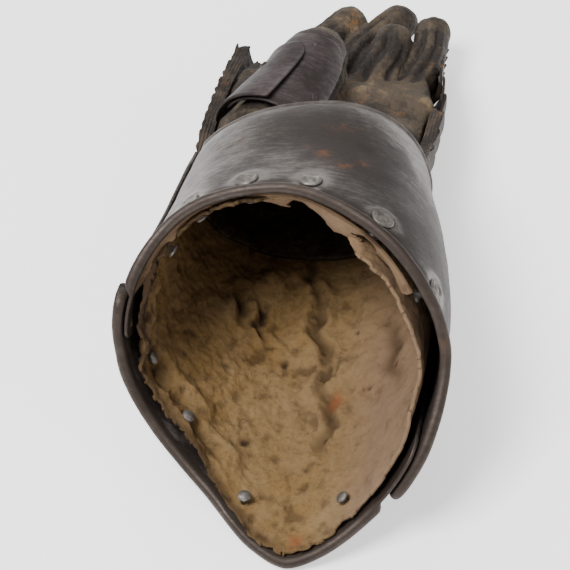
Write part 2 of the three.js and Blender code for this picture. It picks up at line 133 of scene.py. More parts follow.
class Table:
    """Smooth curves through the rows of a table, keyed by the first column."""

    def __init__(self, rows: Rows) -> None:
        """Keeps the rows as arrays."""
        data = np.array(rows, float)
        self.keys, self.values = data[:, 0], data[:, 1:]

    def __call__(self, at: Array) -> Array:
        """Values of all columns.

        Args:
            at: places along the key column.
        Returns:
            One row of values per place.
        """
        keys, values = self.keys, self.values
        at = np.clip(np.asarray(at, float), keys[0], keys[-1])
        i = np.clip(np.searchsorted(keys, at, side="right") - 1, 0, len(keys) - 2)
        last = len(keys) - 1
        before = np.where(i > 0, i - 1, i + 1)
        after = np.where(i + 2 <= last, i + 2, i)
        t0, t1 = keys[i], keys[i + 1]
        t_before = np.where(i > 0, keys[before], 2 * t0 - t1)
        t_after = np.where(i + 2 <= last, keys[after], 2 * t1 - t0)
        half = (t1 - t0) / 2
        wp, wn = half / (t0 - t_before), half / (t_after - t1)
        p = (at - t0) / (t1 - t0)
        terms = [
            (before, -wp * p**3 + 2 * wp * p**2 - wp * p),
            (i, (1 + wp) * p**3 + (-1.5 - 2 * wp) * p**2 + (wp - 0.5) * p + 1),
            (i + 1, (-1 - wn) * p**3 + (1.5 + wn) * p**2 + 0.5 * p),
            (after, wn * p**3 - wn * p**2),
        ]
        return sum(values[k] * w[..., None] for k, w in terms)


@dataclass(frozen=True)
class Seat:
    """How the arm frame lies in the row's frame."""

    pitch: float = -7.2
    roll: float = -8.6
    offset: tuple[float, float, float] = (-1.280, 10.799, 44.610)

    def turn(self) -> Array:
        """The rotation from arm frame to row frame."""
        return rotation("x", self.pitch) @ rotation("y", self.roll)

    def place(self, points: Array) -> Array:
        """Arm frame in millimetres to row frame in metres."""
        return (np.asarray(points, float) @ self.turn().T + np.array(self.offset)) / MM


@dataclass
class Skin:
    """The armour's outer skin along the arm and over the hand."""

    body: Rows = field(
        default_factory=lambda: [
            # y, left, right, top, bottom, back squareness
            [-172, 66.6, 66.8, 59.0, 65.0, 1.82],
            [-130, 66.6, 67.4, 58.8, 60.6, 1.85],
            [-90, 66.2, 66.8, 57.6, 55.0, 1.88],
            [-45, 63.2, 58.6, 51.4, 46.8, 1.9],
            [0, 61.2, 46.6, 43.6, 38.2, 1.95],
            [20, 62.6, 45.8, 27.0, 35.8, 2.1],
            [42, 63.4, 46.8, 17.5, 34.0, 2.3],
            [70, 63.0, 46.4, 12.5, 32.4, 2.55],
            [108, 60.6, 41.0, 6.0, 31.0, 2.75],
        ]
    )
    rim: Rows = field(
        default_factory=lambda: [
            [-180, -82], [-145, -87], [-115, -106], [-88, -115], [-60, -125], [-35, -141],
            [-15, -162], [0, -170.5], [15, -167.5], [35, -157], [60, -146], [88, -121],
            [115, -112], [145, -98], [180, -82],
        ]
    )
    palm_squareness: float = 2.25
    axis_x: float = -7
    hand_turn: float = 9.6
    twist_from: float = -4
    twist_to: float = 38

    def __post_init__(self) -> None:
        """Makes the smooth tables."""
        self.sizes = Table(self.body)
        self.rim_table = Table(self.rim)

    def rim_y(self, angle: Array) -> Array:
        """Where the mouth of the cuff is, at an angle."""
        return self.rim_table(wrap(angle))[..., 0]

    def point(self, y: Array, angle: Array, inset: Array) -> Array:
        """Places on or under the skin.

        Args:
            y: stations along the arm.
            angle: angles round it.
            inset: depths below the skin.
        Returns:
            An array with a last axis of x, y, z.
        """
        y, angle, inset = np.broadcast_arrays(*(np.asarray(v, float) for v in (y, angle, inset)))
        left, right, top, bottom, back = np.moveaxis(self.sizes(y), -1, 0)
        side, up = np.sin(np.radians(angle)), -np.cos(np.radians(angle))
        square = np.where(up >= 0, self.palm_squareness, back)
        x = (np.where(side >= 0, right, left) - inset) * squared(side, square)
        z = (np.where(up >= 0, top, bottom) - inset) * squared(up, square)
        turn = np.radians(self.hand_turn) * smoothstep(y, self.twist_from, self.twist_to)
        reach = x - self.axis_x
        across = self.axis_x + reach * np.cos(turn) + z * np.sin(turn)
        return np.stack([across, y, z * np.cos(turn) - reach * np.sin(turn)], axis=-1)

    def outward(self, y: float, angle: float, inset: float) -> Array:
        """Unit vector that points away from the arm at a place on the skin."""
        here = self.point(y, angle, inset)
        along = self.point(y + 1, angle, inset) - here
        around = self.point(y, angle + 1, inset) - here
        normal = np.cross(along, around)
        return normal / np.linalg.norm(normal)

    def hand(self, points: Rows) -> Array:
        """Hand frame, which is less rolled than the cuff, to arm frame."""
        x, y, z = np.array(points, float).T
        turn = math.radians(self.hand_turn)
        across = self.axis_x + x * math.cos(turn) + z * math.sin(turn)
        return np.stack([across, y, z * math.cos(turn) - x * math.sin(turn)], axis=-1)


SEAT = Seat()
SKIN = Skin()


# ---- meshes -------------------------------------------------------------------------------------


@dataclass
class Form:
    """Points, faces and painted values of a piece before it becomes an object."""

    points: Array
    faces: list[tuple[int, ...]]
    paint: dict[str, Array] = field(default_factory=dict)

    def plus(self, other: "Form") -> "Form":
        """Both forms as one; only values that both have are kept."""
        shift = len(self.points)
        faces = self.faces + [tuple(i + shift for i in f) for f in other.faces]
        keys = self.paint.keys() & other.paint.keys()
        paint = {k: np.concatenate([self.paint[k], other.paint[k]]) for k in sorted(keys)}
        return Form(np.concatenate([self.points, other.points]), faces, paint)

    def build(self, name: str, finish: "Finish", slot: str) -> bpy.types.Object:
        """Makes the object, smooth shaded, with its finish and painted values.

        Args:
            name: the object's name.
            finish: its material.
            slot: not used.
        Returns:
            The new object, riding the root body.
        """
        mesh = bpy.data.meshes.new(name)
        placed = SEAT.place(self.points)
        placed[:, 2] = placed[:, 2].clip(FLOOR_CLEARANCE)
        mesh.from_pydata(placed.tolist(), [], self.faces)
        for key, values in self.paint.items():
            layer = mesh.attributes.new(key, "FLOAT", "POINT")
            layer.data.foreach_set("value", np.asarray(values, np.float32).ravel())
        obj = bpy.data.objects.new(name, mesh)
        bpy.context.scene.collection.objects.link(obj)
        return dress(tidy_mesh(obj), finish)


def tidy_mesh(obj: bpy.types.Object) -> bpy.types.Object:
    """Welds doubles, points the faces outwards and shades them smooth.

    Args:
        obj: the object to tidy.
    Returns:
        The same object.
    """
    work = bmesh.new()
    work.from_mesh(obj.data)
    bmesh.ops.remove_doubles(work, verts=work.verts, dist=WELD)
    bmesh.ops.recalc_face_normals(work, faces=work.faces)
    for face in work.faces:
        face.smooth = True
    work.to_mesh(obj.data)
    work.free()
    return obj


def dress(obj: bpy.types.Object, finish: "Finish") -> bpy.types.Object:
    """Gives a new piece its material and body."""
    obj.data.materials.clear()
    obj.data.materials.append(finish.material())
    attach(obj, "root")
    return obj


def applied(obj: bpy.types.Object) -> bpy.types.Object:
    """Turns an object's modifiers into plain mesh and removes them."""
    evaluated = obj.evaluated_get(bpy.context.evaluated_depsgraph_get())
    mesh = bpy.data.meshes.new_from_object(evaluated)
    mesh.name = obj.name
    obj.modifiers.clear()
    obj.data = mesh
    return obj


def swept(loops: Array, ring: bool = False) -> list[tuple[int, ...]]:
    """Faces of a body through a row of loops.

    Args:
        loops: an array of loops, each an even number of points out along one face and back.
        ring: joins the last loop to the first instead of closing both ends.
    Returns:
        The faces, as indices into the flattened loops.
    """
    count, size = loops.shape[:2]
    faces = []
    for i in range(count if ring else count - 1):
        here, there = i * size, (i + 1) % count * size
        faces += [
            (here + j, here + (j + 1) % size, there + (j + 1) % size, there + j)
            for j in range(size)
        ]
    if not ring:
        for start in (0, (count - 1) * size):
            faces += [
                (start + j, start + j + 1, start + size - 2 - j, start + size - 1 - j)
                for j in range(size // 2 - 1)
            ]
    return faces


def sheet_form(grid: Array, paint: dict[str, Array], keep: Array, ring: bool) -> Form:
    """A single sheet through a grid of points, without the cells that are torn away.

    Args:
        grid: columns by rows by 3.
        paint: values per grid point, by name.
        keep: True for the points that are there.
        ring: joins the last column to the first.
    Returns:
        The sheet as a form.
    """
    columns, rows = grid.shape[:2]
    whole = keep.ravel()
    faces = []
    for i in range(columns if ring else columns - 1):
        k = (i + 1) % columns
        for j in range(rows - 1):
            face = (i * rows + j, i * rows + j + 1, k * rows + j + 1, k * rows + j)
            if whole[list(face)].all():
                faces.append(face)
    used = np.zeros(columns * rows, bool)
    used[np.array(faces).ravel()] = True
    renumber = np.cumsum(used) - 1
    faces = [tuple(int(renumber[i]) for i in f) for f in faces]
    painted = {k: np.broadcast_to(v, keep.shape).ravel()[used] for k, v in paint.items()}
    return Form(grid.reshape(-1, 3)[used], faces, painted)


def thickened(obj: bpy.types.Object, thickness: float, offset: float) -> bpy.types.Object:
    """Gives a sheet its thickness in millimetres."""
    solid = obj.modifiers.new("thickness", "SOLIDIFY")
    solid.thickness, solid.offset = thickness / MM, offset
    return applied(obj)


# ---- shader nodes -------------------------------------------------------------------------------


class Value:
    """A number inside a material; adding, multiplying and so on adds a Math node."""

    def __init__(self, book: "NodeBook", socket: bpy.types.NodeSocket) -> None:
        """Wraps a node's output socket."""
        self.book, self.socket = book, socket

    def maths(self, operation: str, *others: "Value | float", swap: bool = False) -> "Value":
        """A Math node on this value and others.

        Args:
            operation: the node's operation.
            others: the other inputs.
            swap: puts the first other input before this one.
        Returns:
            The result.
        """
        inputs = [self, *others]
        if swap:
            inputs[0], inputs[1] = inputs[1], inputs[0]
        named = dict(enumerate(inputs))
        return self.book.add("ShaderNodeMath", named, operation=operation)

    def __add__(self, other: "Value | float") -> "Value":
        """Sum."""
        return self.maths("ADD", other)

    def __radd__(self, other: float) -> "Value":
        """Sum, with the number first."""
        return self.maths("ADD", other)

    def __sub__(self, other: "Value | float") -> "Value":
        """Difference."""
        return self.maths("SUBTRACT", other)

    def __rsub__(self, other: float) -> "Value":
        """Difference, with the number first."""
        return self.maths("SUBTRACT", other, swap=True)

    def __mul__(self, other: "Value | float") -> "Value":
        """Product."""
        return self.maths("MULTIPLY", other)

    def __rmul__(self, other: float) -> "Value":
        """Product, with the number first."""
        return self.maths("MULTIPLY", other)

    def least(self, other: "Value | float") -> "Value":
        """The smaller of two values."""
        return self.maths("MINIMUM", other)

    def rise(self, low: float, high: float) -> "Value":
        """Smooth rise from 0 at low to 1 at high."""
        inputs = {0: self, 1: low, 2: high, 3: 0.0, 4: 1.0}
        return self.book.add("ShaderNodeMapRange", inputs, interpolation_type="SMOOTHSTEP")


Colour = tuple[float, float, float]


class NodeBook:
    """A material's nodes, added one after another."""

    def __init__(self, name: str) -> None:
        """Starts a material with a Principled shader."""
        self.mat = bpy.data.materials.new(name)
        self.mat.use_nodes = True
        self.tree = self.mat.node_tree
        self.shader = self.tree.nodes["Principled BSDF"]
        self.places = self.add("ShaderNodeTexCoord", {}, output="Object")

    def connect(self, target: bpy.types.NodeSocket, value: object) -> None:
        """Links a value to a socket, or sets the socket's own number."""
        if isinstance(value, Value):
            self.tree.links.new(value.socket, target)
        elif isinstance(value, tuple) and target.type == "RGBA":
            target.default_value = (*value, 1.0)
        else:
            target.default_value = value

    def add(self, kind: str, inputs: dict, output: str | int = 0, **settings: object) -> Value:
        """Adds any node.

        Args:
            kind: the node's type.
            inputs: values or numbers, by input name or index.
            output: the output to use.
            settings: the node's own properties.
        Returns:
            The chosen output.
        """
        node = self.tree.nodes.new(kind)
        for key, value in settings.items():
            setattr(node, key, value)
        for key, value in inputs.items():
            self.connect(node.inputs[key], value)
        return Value(self, node.outputs[output])

    def noise(
        self, scale: float, detail: float = 4, stretch: Colour = (1, 1, 1), **more: float
    ) -> Value:
        """Noise in object space, finer along an axis whose stretch is larger."""
        inputs = {"Vector": self.places, "Scale": stretch}
        where = self.add("ShaderNodeMapping", inputs)
        inputs = {"Vector": where, "Scale": scale, "Detail": detail, **more}
        return self.add("ShaderNodeTexNoise", inputs, 0)

    def cells(self, scale: float, feature: str = "F1") -> Value:
        """Distance in a cell pattern in object space."""
        inputs = {"Vector": self.places, "Scale": scale}
        return self.add("ShaderNodeTexVoronoi", inputs, "Distance", feature=feature)

    def painted(self, name: str) -> Value:
        """A value painted on the mesh's points; 0 where there is none."""
        return self.add("ShaderNodeAttribute", {}, "Fac", attribute_name=name)

    def blend(self, share: Value, first: "Value | Colour", second: "Value | Colour") -> Value:
        """Colour between two, by share."""
        node = self.tree.nodes.new("ShaderNodeMix")
        node.data_type = "RGBA"
        sockets = [s for s in node.inputs if s.type == "RGBA"]
        self.connect(node.inputs[0], share)
        self.connect(sockets[0], first)
        self.connect(sockets[1], second)
        return Value(self, next(s for s in node.outputs if s.type == "RGBA"))

    def relief(self, height: Value, millimetres: float) -> Value:
        """Bump from a height in 0 to 1."""
        inputs = {"Height": height, "Distance": millimetres / MM, "Strength": 1.0}
        return self.add("ShaderNodeBump", inputs)

    def finish(self, **inputs: object) -> bpy.types.Material:
        """Feeds the shader's inputs, named with _ for a space.

        Args:
            inputs: values or numbers by input name.
        Returns:
            The material.
        """
        for key, value in inputs.items():
            self.connect(self.shader.inputs[key.replace("_", " ")], value)
        return self.mat


@dataclass(frozen=True)
class Finish:
    """A finish that makes its material once."""

    name: str

    def material(self) -> bpy.types.Material:
        """The material, made on first use."""
        return bpy.data.materials.get(self.name) or self.make()

    def make(self) -> bpy.types.Material:
        """Builds the material.

        Returns:
            The new material.
        """
        raise NotImplementedError


@dataclass(frozen=True)
class SteelFinish(Finish):
    """Old steel: brushed, mottled with dark patina, pitted and spotted with rust."""

    bright: Colour = (0.160, 0.142, 0.130)
    middle: Colour = (0.056, 0.046, 0.041)
    dark: Colour = (0.024, 0.019, 0.017)
    rust: Colour = (0.115, 0.045, 0.015)
    edge: Colour = (0.040, 0.026, 0.019)
    patina: float = 0.7
    rusty: float = 0.5

    def make(self) -> bpy.types.Material:
        """Builds the material.

        Returns:
            The new material.
        """
        book = NodeBook(self.name)
        wear, grime = book.painted("wear"), book.painted("grime")
        streaks = book.noise(110, 7, (1, 6, 1.4), Roughness=0.78)
        clouds = book.noise(30, 8, Roughness=0.72)
        speckle = book.noise(340, 4, Roughness=0.7)
        # The tone rises with worn places and painted highlights, and falls with darker patches and
        # painted shade.
        tone = clouds * 0.62 + streaks * 0.46 + speckle * 0.22 + wear * 0.26 - grime * 0.34 - 0.14
        colour = book.blend(tone.rise(0.30, 0.56 + 0.1 * self.patina), self.dark, self.middle)
        colour = book.blend((tone + streaks * 0.3).rise(0.62, 0.95), colour, self.bright)
        patches = book.noise(60, 5, Roughness=0.65)
        spots = book.cells(120).rise(0.30, 0.08) * book.noise(35, 2).rise(0.56, 0.68)
        rust = (patches.rise(0.60, 0.76) * 0.6 + spots) * self.rusty + grime * 0.05
        rust = rust + book.painted("rusted") * speckle.rise(0.40, 0.60)
        colour = book.blend(rust.least(1.0), colour, self.rust)
        rim = book.painted("edge").rise(0.1, 0.9) * (0.55 + 0.4 * clouds)
        colour = book.blend(rim, colour, self.edge)
        scratch = book.noise(420, 2, (1, 9, 1))
        dull = 0.36 + 0.22 * (1.0 - tone.rise(0.3, 0.9)) + rust.least(1.0) * 0.3 + speckle * 0.06
        height = book.noise(700, 3) * 0.35 + scratch * 0.25 + patches * 0.4
        pits = book.cells(420).rise(0.32, 0.0) * book.noise(60, 3).rise(0.5, 0.7)
        normal = book.relief(height - pits * 0.6, 0.22)
        return book.finish(
            Base_Color=colour,
            Metallic=0.6 - rust.least(1.0) * 0.5,
            Roughness=dull.least(0.9),
            Normal=normal,
        )


@dataclass(frozen=True)
class SuedeFinish(Finish):
    """Rough suede, crumbling and ochre where worn, greyer pink where the smooth side shows, with
    painted shade in its creases and hollows.
    """

    ochre: Colour = (0.200, 0.115, 0.036)
    pale: Colour = (0.285, 0.185, 0.088)
    # Dark colour for the cracks and stains and for the painted shade.
    shade: Colour = (0.040, 0.021, 0.009)
    pink: Colour = (0.185, 0.118, 0.074)

    def make(self) -> bpy.types.Material:
        """Builds the material.

        Returns:
            The new material.
        """
        book = NodeBook(self.name)
        smooth, deep, burnt = book.painted("smooth"), book.painted("deep"), book.painted("burnt")
        clouds = book.noise(38, 6, Roughness=0.65)
        crumbs = book.noise(520, 6, Roughness=0.8)
        flakes = book.cells(330)
        tone = clouds * 0.6 + crumbs * 0.5
        colour = book.blend(tone.rise(0.36, 0.72), self.ochre, self.pale)
        colour = book.blend((smooth * (0.55 + 0.6 * clouds)).least(1.0), colour, self.pink)
        stains = book.noise(85, 7, Roughness=0.78).rise(0.50, 0.70) * 0.62
        crack = (crumbs.rise(0.42, 0.24) * (1.0 - smooth * 0.7) * 0.8 + stains).least(1.0)
        colour = book.blend(crack, colour, self.shade)
        # Painted shade: deep darkens the creases, pits and crumb hollows, the torn edge on the left
        # half, the far left inside the cuff and the turned edge under the rim.
        colour = book.blend(deep.least(1.0), colour, self.shade)
        colour = book.blend(burnt.least(1.0), colour, (0.26, 0.075, 0.025))
        rub = 1.0 - smooth * 0.6
        height = crumbs * rub + clouds * 0.4 + flakes * 0.3 * rub
        return book.finish(
            Base_Color=colour,
            Roughness=0.93 - smooth * 0.12,
            Specular_IOR_Level=0.25,
            Normal=book.relief(height, 1.3),
        )


@dataclass(frozen=True)
class LeatherFinish(Finish):
    """Old smooth leather: creased, dark, worn to tan on the high places, with painted shade in its
    creases and a painted highlight and painted shadow on the index fingertip.
    """

    dark: Colour = (0.016, 0.011, 0.008)
    brown: Colour = (0.060, 0.043, 0.027)
    tan: Colour = (0.200, 0.135, 0.072)
    rust: Colour = (0.190, 0.085, 0.028)

    def make(self) -> bpy.types.Material:
        """Builds the material.

        Returns:
            The new material.
        """
        book = NodeBook(self.name)
        light, crease = book.painted("light"), book.painted("crease")
        clouds = book.noise(45, 6, Roughness=0.65)
        grain_noise = book.noise(900, 3)
        cracks = book.cells(260, "DISTANCE_TO_EDGE")
        mottles = book.noise(130, 6, Roughness=0.7)
        # light lifts the tone: lighter places, and the painted highlight and painted shadow on the
        # index fingertip; crease lowers it: painted shade in the glove's creases, and dark lines
        # along the strap's layers.
        tone = clouds * 1.1 + mottles * 0.95 + light * 0.42 + grain_noise * 0.1
        tone = tone - crease * 0.34 - 0.86
        colour = book.blend(tone.rise(0.18, 0.52), self.dark, self.brown)
        colour = book.blend(tone.rise(0.52, 0.92), colour, self.tan)
        patches = book.noise(75, 4, Roughness=0.6).rise(0.60, 0.72) * (0.25 + light * 0.6)
        colour = book.blend(patches.least(1.0), colour, self.rust)
        height = clouds * 0.5 + cracks.rise(0.0, 0.25) * 0.25 + grain_noise * 0.2
        return book.finish(
            Base_Color=colour,
            Roughness=0.62 + 0.2 * clouds,
            Specular_IOR_Level=0.35,
            Normal=book.relief(height, 0.9),
        )


@dataclass(frozen=True)
class PlainFinish(Finish):
    """The pale floor."""

    colour: Colour = (0.92, 0.92, 0.92)
    glow: float = 0.92

    def make(self) -> bpy.types.Material:
        """Builds the material.

        Returns:
            The new material.
        """
        book = NodeBook(self.name)
        return book.finish(
            Base_Color=self.colour,
            Roughness=0.95,
            Specular_IOR_Level=0.1,
            Emission_Color=(1.0, 1.0, 1.0),
            Emission_Strength=self.glow,
        )


class Finishes(Enum):
    """Every finish of the gauntlet."""

    CUFF = SteelFinish("worn_cuff_plate")
    LAME = SteelFinish(
        "lame_steel", bright=(0.115, 0.090, 0.070), middle=(0.048, 0.036, 0.027),
        dark=(0.017, 0.011, 0.008),
        rusty=0.9,
    )
    HAND = SteelFinish(
        "thumb_steel", bright=(0.112, 0.092, 0.090), middle=(0.048, 0.036, 0.035),
        dark=(0.020, 0.014, 0.013),
        rusty=0.5, patina=0.2,
    )
    # Rivet steel: a much lighter copy of the steel, painted highlight on the domed rivet heads.
    RIVET = SteelFinish(
        "rivet_steel", bright=(0.42, 0.395, 0.365), middle=(0.19, 0.172, 0.155),
        dark=(0.050, 0.040, 0.034),
        rusty=0.3,
    )
    SUEDE = SuedeFinish("lining_suede")
    GLOVE = LeatherFinish("old_glove_hide")
    STRAP = LeatherFinish(
        "old_strap_hide", dark=(0.018, 0.012, 0.009), brown=(0.052, 0.036, 0.024),
        tan=(0.120, 0.085, 0.055),
    )
    FLOOR = PlainFinish("floor_white")


# ---- cuff ---------------------------------------------------------------------------------------


class PlateSide(Enum):
    """Which of the two cuff plates a rivet goes through."""

    MAIN = "main"
    INNER = "inner"


@dataclass
class Cuff:
    """The two steel plates of the cuff and their rivets."""

    plate: float = 1.5
    roll_radius: float = 2.4
    back_lip: float = 4
    main_arc: tuple[float, float] = (-113, 62)
    inner_arc: tuple[float, float] = (42, 265)
    main_layer: float = 1.4
    layer_step: float = 2.3
    crossover: tuple[float, float] = (110, 235)
    rivet_set_back: float = 13
    rivets: Rows = field(
        default_factory=lambda: [
            # angle, 1 on the main plate
            [-130, 0], [-149, 0], [-173, 0], [166, 0], [137, 0], [105, 0], [27, 1], [-20, 1],
            [-50, 1], [-78, 1],
        ]
    )
    rivet_names: tuple[str, ...] = (
        "palm_1", "palm_2", "palm_3", "palm_4", "palm_5",
        "right_1", "back_1", "back_2", "left_1", "left_2",
    )
    empty_holes: tuple[float, ...] = (76, 54)
    dark_patches: Rows = field(
        default_factory=lambda: [
            # y, angle, length, width in degrees, strength
            [-35, 155, 20, 17, 0.75], [-87, 128, 16, 14, 0.6], [-54, 144, 14, 12, 0.65],
            [-70, 100, 30, 16, 0.4], [-22, 178, 20, 22, 0.4], [-62, -160, 12, 10, 0.35],
            [-30, 128, 10, 9, 0.5],
        ]
    )
    rust_spots: Rows = field(
        default_factory=lambda: [
            # y, angle, size
            [-49, 164, 3.2], [-57, 155, 2.8], [-52, 148, 2.0], [-119, 93, 3.0], [-96, 170, 2.2],
        ]
    )

    def edge_roll(
        self, edge: Array, heading: int, layer: float, roll: float, steps: int = 14
    ) -> Array:
        """The turned edge of a plate, from its outer face round to its inner face.

        Args:
            edge: y of the edge.
            heading: 1 towards the fingers, -1 towards the elbow.
            layer: inset of the plate's outer face.
            roll: 0 for a bare edge, 1 for the full roll.
            steps: points on it.
        Returns:
            Rows of y and inset.
        """
        radius = self.plate / 2 + (self.roll_radius - self.plate / 2) * roll
        centre = layer + self.plate - radius
        turns = np.linspace(math.asin(self.plate / radius - 1), 1.5 * math.pi, steps)
        along = edge - heading * radius * (1 + np.cos(turns))
        return np.stack([along, centre - radius * np.sin(turns)], axis=-1)

    def slice_line(
        self, angle: float, wrist: float, layer: float, rolls: tuple[float, float], cut: float
    ) -> Array:
        """A lengthwise slice of a plate as rows of y and inset, out along the outside and back.

        Args:
            angle: where round the arm.
            wrist: y of the wrist edge.
            layer: inset of the outer face.
            rolls: the roll at the wrist edge and at the rim.
            cut: how far the corner is cut back.
        Returns:
            An even number of rows.
        """
        rim = float(SKIN.rim_y(angle)) + cut
        wrist_end = self.edge_roll(wrist, 1, layer, rolls[0], 8)[::-1]
        rim_end = self.edge_roll(rim, -1, layer, rolls[1], 14)
        first, last = wrist_end[-1, 0], rim_end[0, 0]
        far = np.linspace(first, last + 26, 36)[1:]
        near = np.linspace(last + 26, last, 34)[1:-1]
        outside = np.concatenate([far, near])
        inside = np.linspace(rim_end[-1, 0], wrist_end[0, 0], len(outside) + 2)[1:-1]
        outer = np.stack([outside, np.full_like(outside, layer)], axis=-1)
        inner = np.stack([inside, np.full_like(inside, rim_end[-1, 1])], axis=-1)
        return np.concatenate([wrist_end[4:], outer, rim_end, inner, wrist_end[:4]])

    def inner_layer(self, angle: Array) -> Array:
        """Inset of the inner plate's outer face."""
        share = smoothstep(angle, *self.crossover)
        return self.main_layer - self.layer_step + 2 * self.layer_step * share

    def corner_cut(self, angle: float, arc: tuple[float, float]) -> float:
        """How far a plate's corner is rounded back near either end of its arc."""
        near = max(0.0, 1 - min(angle - arc[0], arc[1] - angle) / 5)
        return 5 * (1 - math.sqrt(1 - near * near))

    def dishes(self, points: Array, side: PlateSide) -> Array:
        """Depth of the dished seats round the rivets."""
        depth = np.zeros(len(points))
        for angle, on_main in self.rivets:
            if (on_main == 1) == (side is PlateSide.MAIN):
                centre = self.rivet_place(angle, side)[0]
                away = np.linalg.norm(points - centre, axis=1)
                depth += 0.55 * bump(away, 0, 4.2) - 0.35 * bump(away, 6.6, 1.6)
        return depth

    def rivet_place(self, angle: float, side: PlateSide) -> tuple[Array, Array]:
        """Centre of a rivet's seat on the plate's outer face, and the way out."""
        y = float(SKIN.rim_y(angle)) + self.rivet_set_back
        layer = self.main_layer if side is PlateSide.MAIN else float(self.inner_layer(angle % 360))
        return SKIN.point(y, angle, layer), SKIN.outward(y, angle, layer)

    def plate_form(self, side: PlateSide) -> Form:
        """One cuff plate, hammered a little uneven, with worn places, darker patches, painted
        highlights and painted shade on it.

        Args:
            side: which plate.
        Returns:
            Its form.
        """
        main = side is PlateSide.MAIN
        arc = self.main_arc if main else self.inner_arc
        angles = np.linspace(*arc, 150 if main else 210)
        tucked = 360 + self.main_arc[0]
        lines = []
        for angle in angles:
            if main:
                lapped = self.inner_arc[0]
                rolls = (0.0, 1 - float(smoothstep(angle, lapped - 5, lapped - 1)))
                layer, wrist = self.main_layer, self.back_lip
            else:
                rolls = (
                    0.25 * (1 - float(smoothstep(angle, tucked - 14, tucked - 6))),
                    1 - float(smoothstep(angle, tucked - 5, tucked - 1)),
                )
                layer, wrist = float(self.inner_layer(angle)), 0.0
            lines.append(self.slice_line(angle, wrist, layer, rolls, self.corner_cut(angle, arc)))
        lines = np.array(lines)
        y, inset = lines[..., 0], lines[..., 1]
        around = np.broadcast_to(angles[:, None], y.shape)
        from_rim = y - SKIN.rim_y(around)
        plain = SKIN.point(y, around, inset).reshape(-1, 3)
        uneven = 0.30 * rough(plain, 34, 3) + 0.10 * rough(plain, 9, 5)
        groove = 0.32 * bump(from_rim, 7.6, 0.7) + 0.22 * bump(-y, 3.6, 0.6) * (not main)
        extra = uneven.reshape(y.shape) + groove + self.dishes(plain, side).reshape(y.shape)
        points = SKIN.point(y, around, inset + np.clip(extra, -0.5, 1.0))
        edge = smoothstep(from_rim, 6.5, 4.2) + 0.6 * bump(from_rim, 7.6, 0.8)
        # The empty rivet holes are only painted: dark spots of painted shade where each hole would
        # be.
        holes = sum(
            bump(np.hypot(from_rim - self.rivet_set_back, (around - a) * 1.1), 0, 2.4)
            for a in self.empty_holes
        )
        # Painted highlight: a light ring round every rivet seat, where its dished steel catches the
        # light.
        rings = bump(self.to_rivets(plain), 6, 3).reshape(y.shape)
        wear = self.wear(y, around, from_rim) + 0.9 * rings
        # A darker band just inside the rim groove, painted shade in the empty rivet holes, and the
        # darker patches.
        grime = 0.5 * bump(from_rim, 9.5, 2) + 1.6 * holes + self.grime(y, around)
        rusted = self.rusted(y, around)
        paint = {"edge": np.clip(edge, 0, 1), "wear": wear, "grime": grime, "rusted": rusted}
        return Form(points.reshape(-1, 3), swept(points), {k: v.ravel() for k, v in paint.items()})

    def to_rivets(self, points: Array) -> Array:
        """Distance from each point to the nearest rivet."""
        centres = [
            self.rivet_place(a, PlateSide.MAIN if on_main else PlateSide.INNER)[0]
            for a, on_main in self.rivets
        ]
        return np.min([np.linalg.norm(points - c, axis=1) for c in centres], axis=0)

    def wear(self, y: Array, angle: Array, from_rim: Array) -> Array:
        """Where the steel is lighter: a painted highlight on the left of the palm side, where the
        key light is reflected, and along the wrist edge; a lighter patch right of the palm side
        near the wrist, and a faint lighter band back from the rim.
        """
        signed = wrap(angle)
        # Painted highlight of the key light on the left of the palm side.
        left = bump(wrap(signed + 150), 0, 34) * 0.5
        # Painted highlight along the wrist edge, and a lighter patch right of the palm side near
        # the wrist.
        wrist = bump(y, -3, 6) * 0.35 + bump(y, -22, 26) * bump(wrap(angle - 118), 0, 30) * 0.5
        return left + wrist + 0.2 * bump(from_rim, 20, 8)

    def grime(self, y: Array, angle: Array) -> Array:
        """Where the steel is dark: patches right of the middle of the palm side."""
        return sum(
            strength * bump(y, at, long) * bump(wrap(angle - turn), 0, wide)
            for at, turn, long, wide, strength in self.dark_patches
        )

    def rusted(self, y: Array, angle: Array) -> Array:
        """Small orange rust spots right of the middle of the palm side."""
        return sum(
            bump(np.hypot(y - at, wrap(angle - turn)), 0, size)
            for at, turn, size in self.rust_spots
        )

    def build(self) -> None:
        """Makes the plates and their rivets."""
        for side in PlateSide:
            node = f"cuff_{side.value}_plate"
            piece = self.plate_form(side).build(f"{node}_skin", Finishes.CUFF.value, "steel")
            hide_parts(node)
            report(piece)
        self.build_rivets()

    def build_rivets(self) -> None:
        """Sets a dished rivet head on every seat, with its shank and clench inside."""
        head = turned_form(
            [
                [0.01, -0.2], [4.5, -0.2], [4.9, 0.25], [4.2, 0.95],
                [3.0, 0.75], [2.2, 0.15], [1.9, 0.5], [0.01, 1.0],
            ],
            28,
        )
        shank = turned_form(
            [[0.01, -9.6], [2.4, -9.4], [2.9, -8.6], [1.4, -7.8], [1.4, 0.1], [0.01, 0.1]], 16
        )
        sides = [PlateSide.MAIN if on_main else PlateSide.INNER for _, on_main in self.rivets]
        spots = [self.rivet_place(a, side) for (a, _), side in zip(self.rivets, sides)]
        places, normals = (np.array(v) for v in zip(*spots))
        both = head.plus(shank)
        piece = ScatterTree().scatter(
            "rim_rivets", both, places + 0.25 * normals, normals, Finishes.RIVET.value, "steel"
        )
        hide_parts(*(f"rim_rivet_{name}" for name in self.rivet_names))
        report(piece)


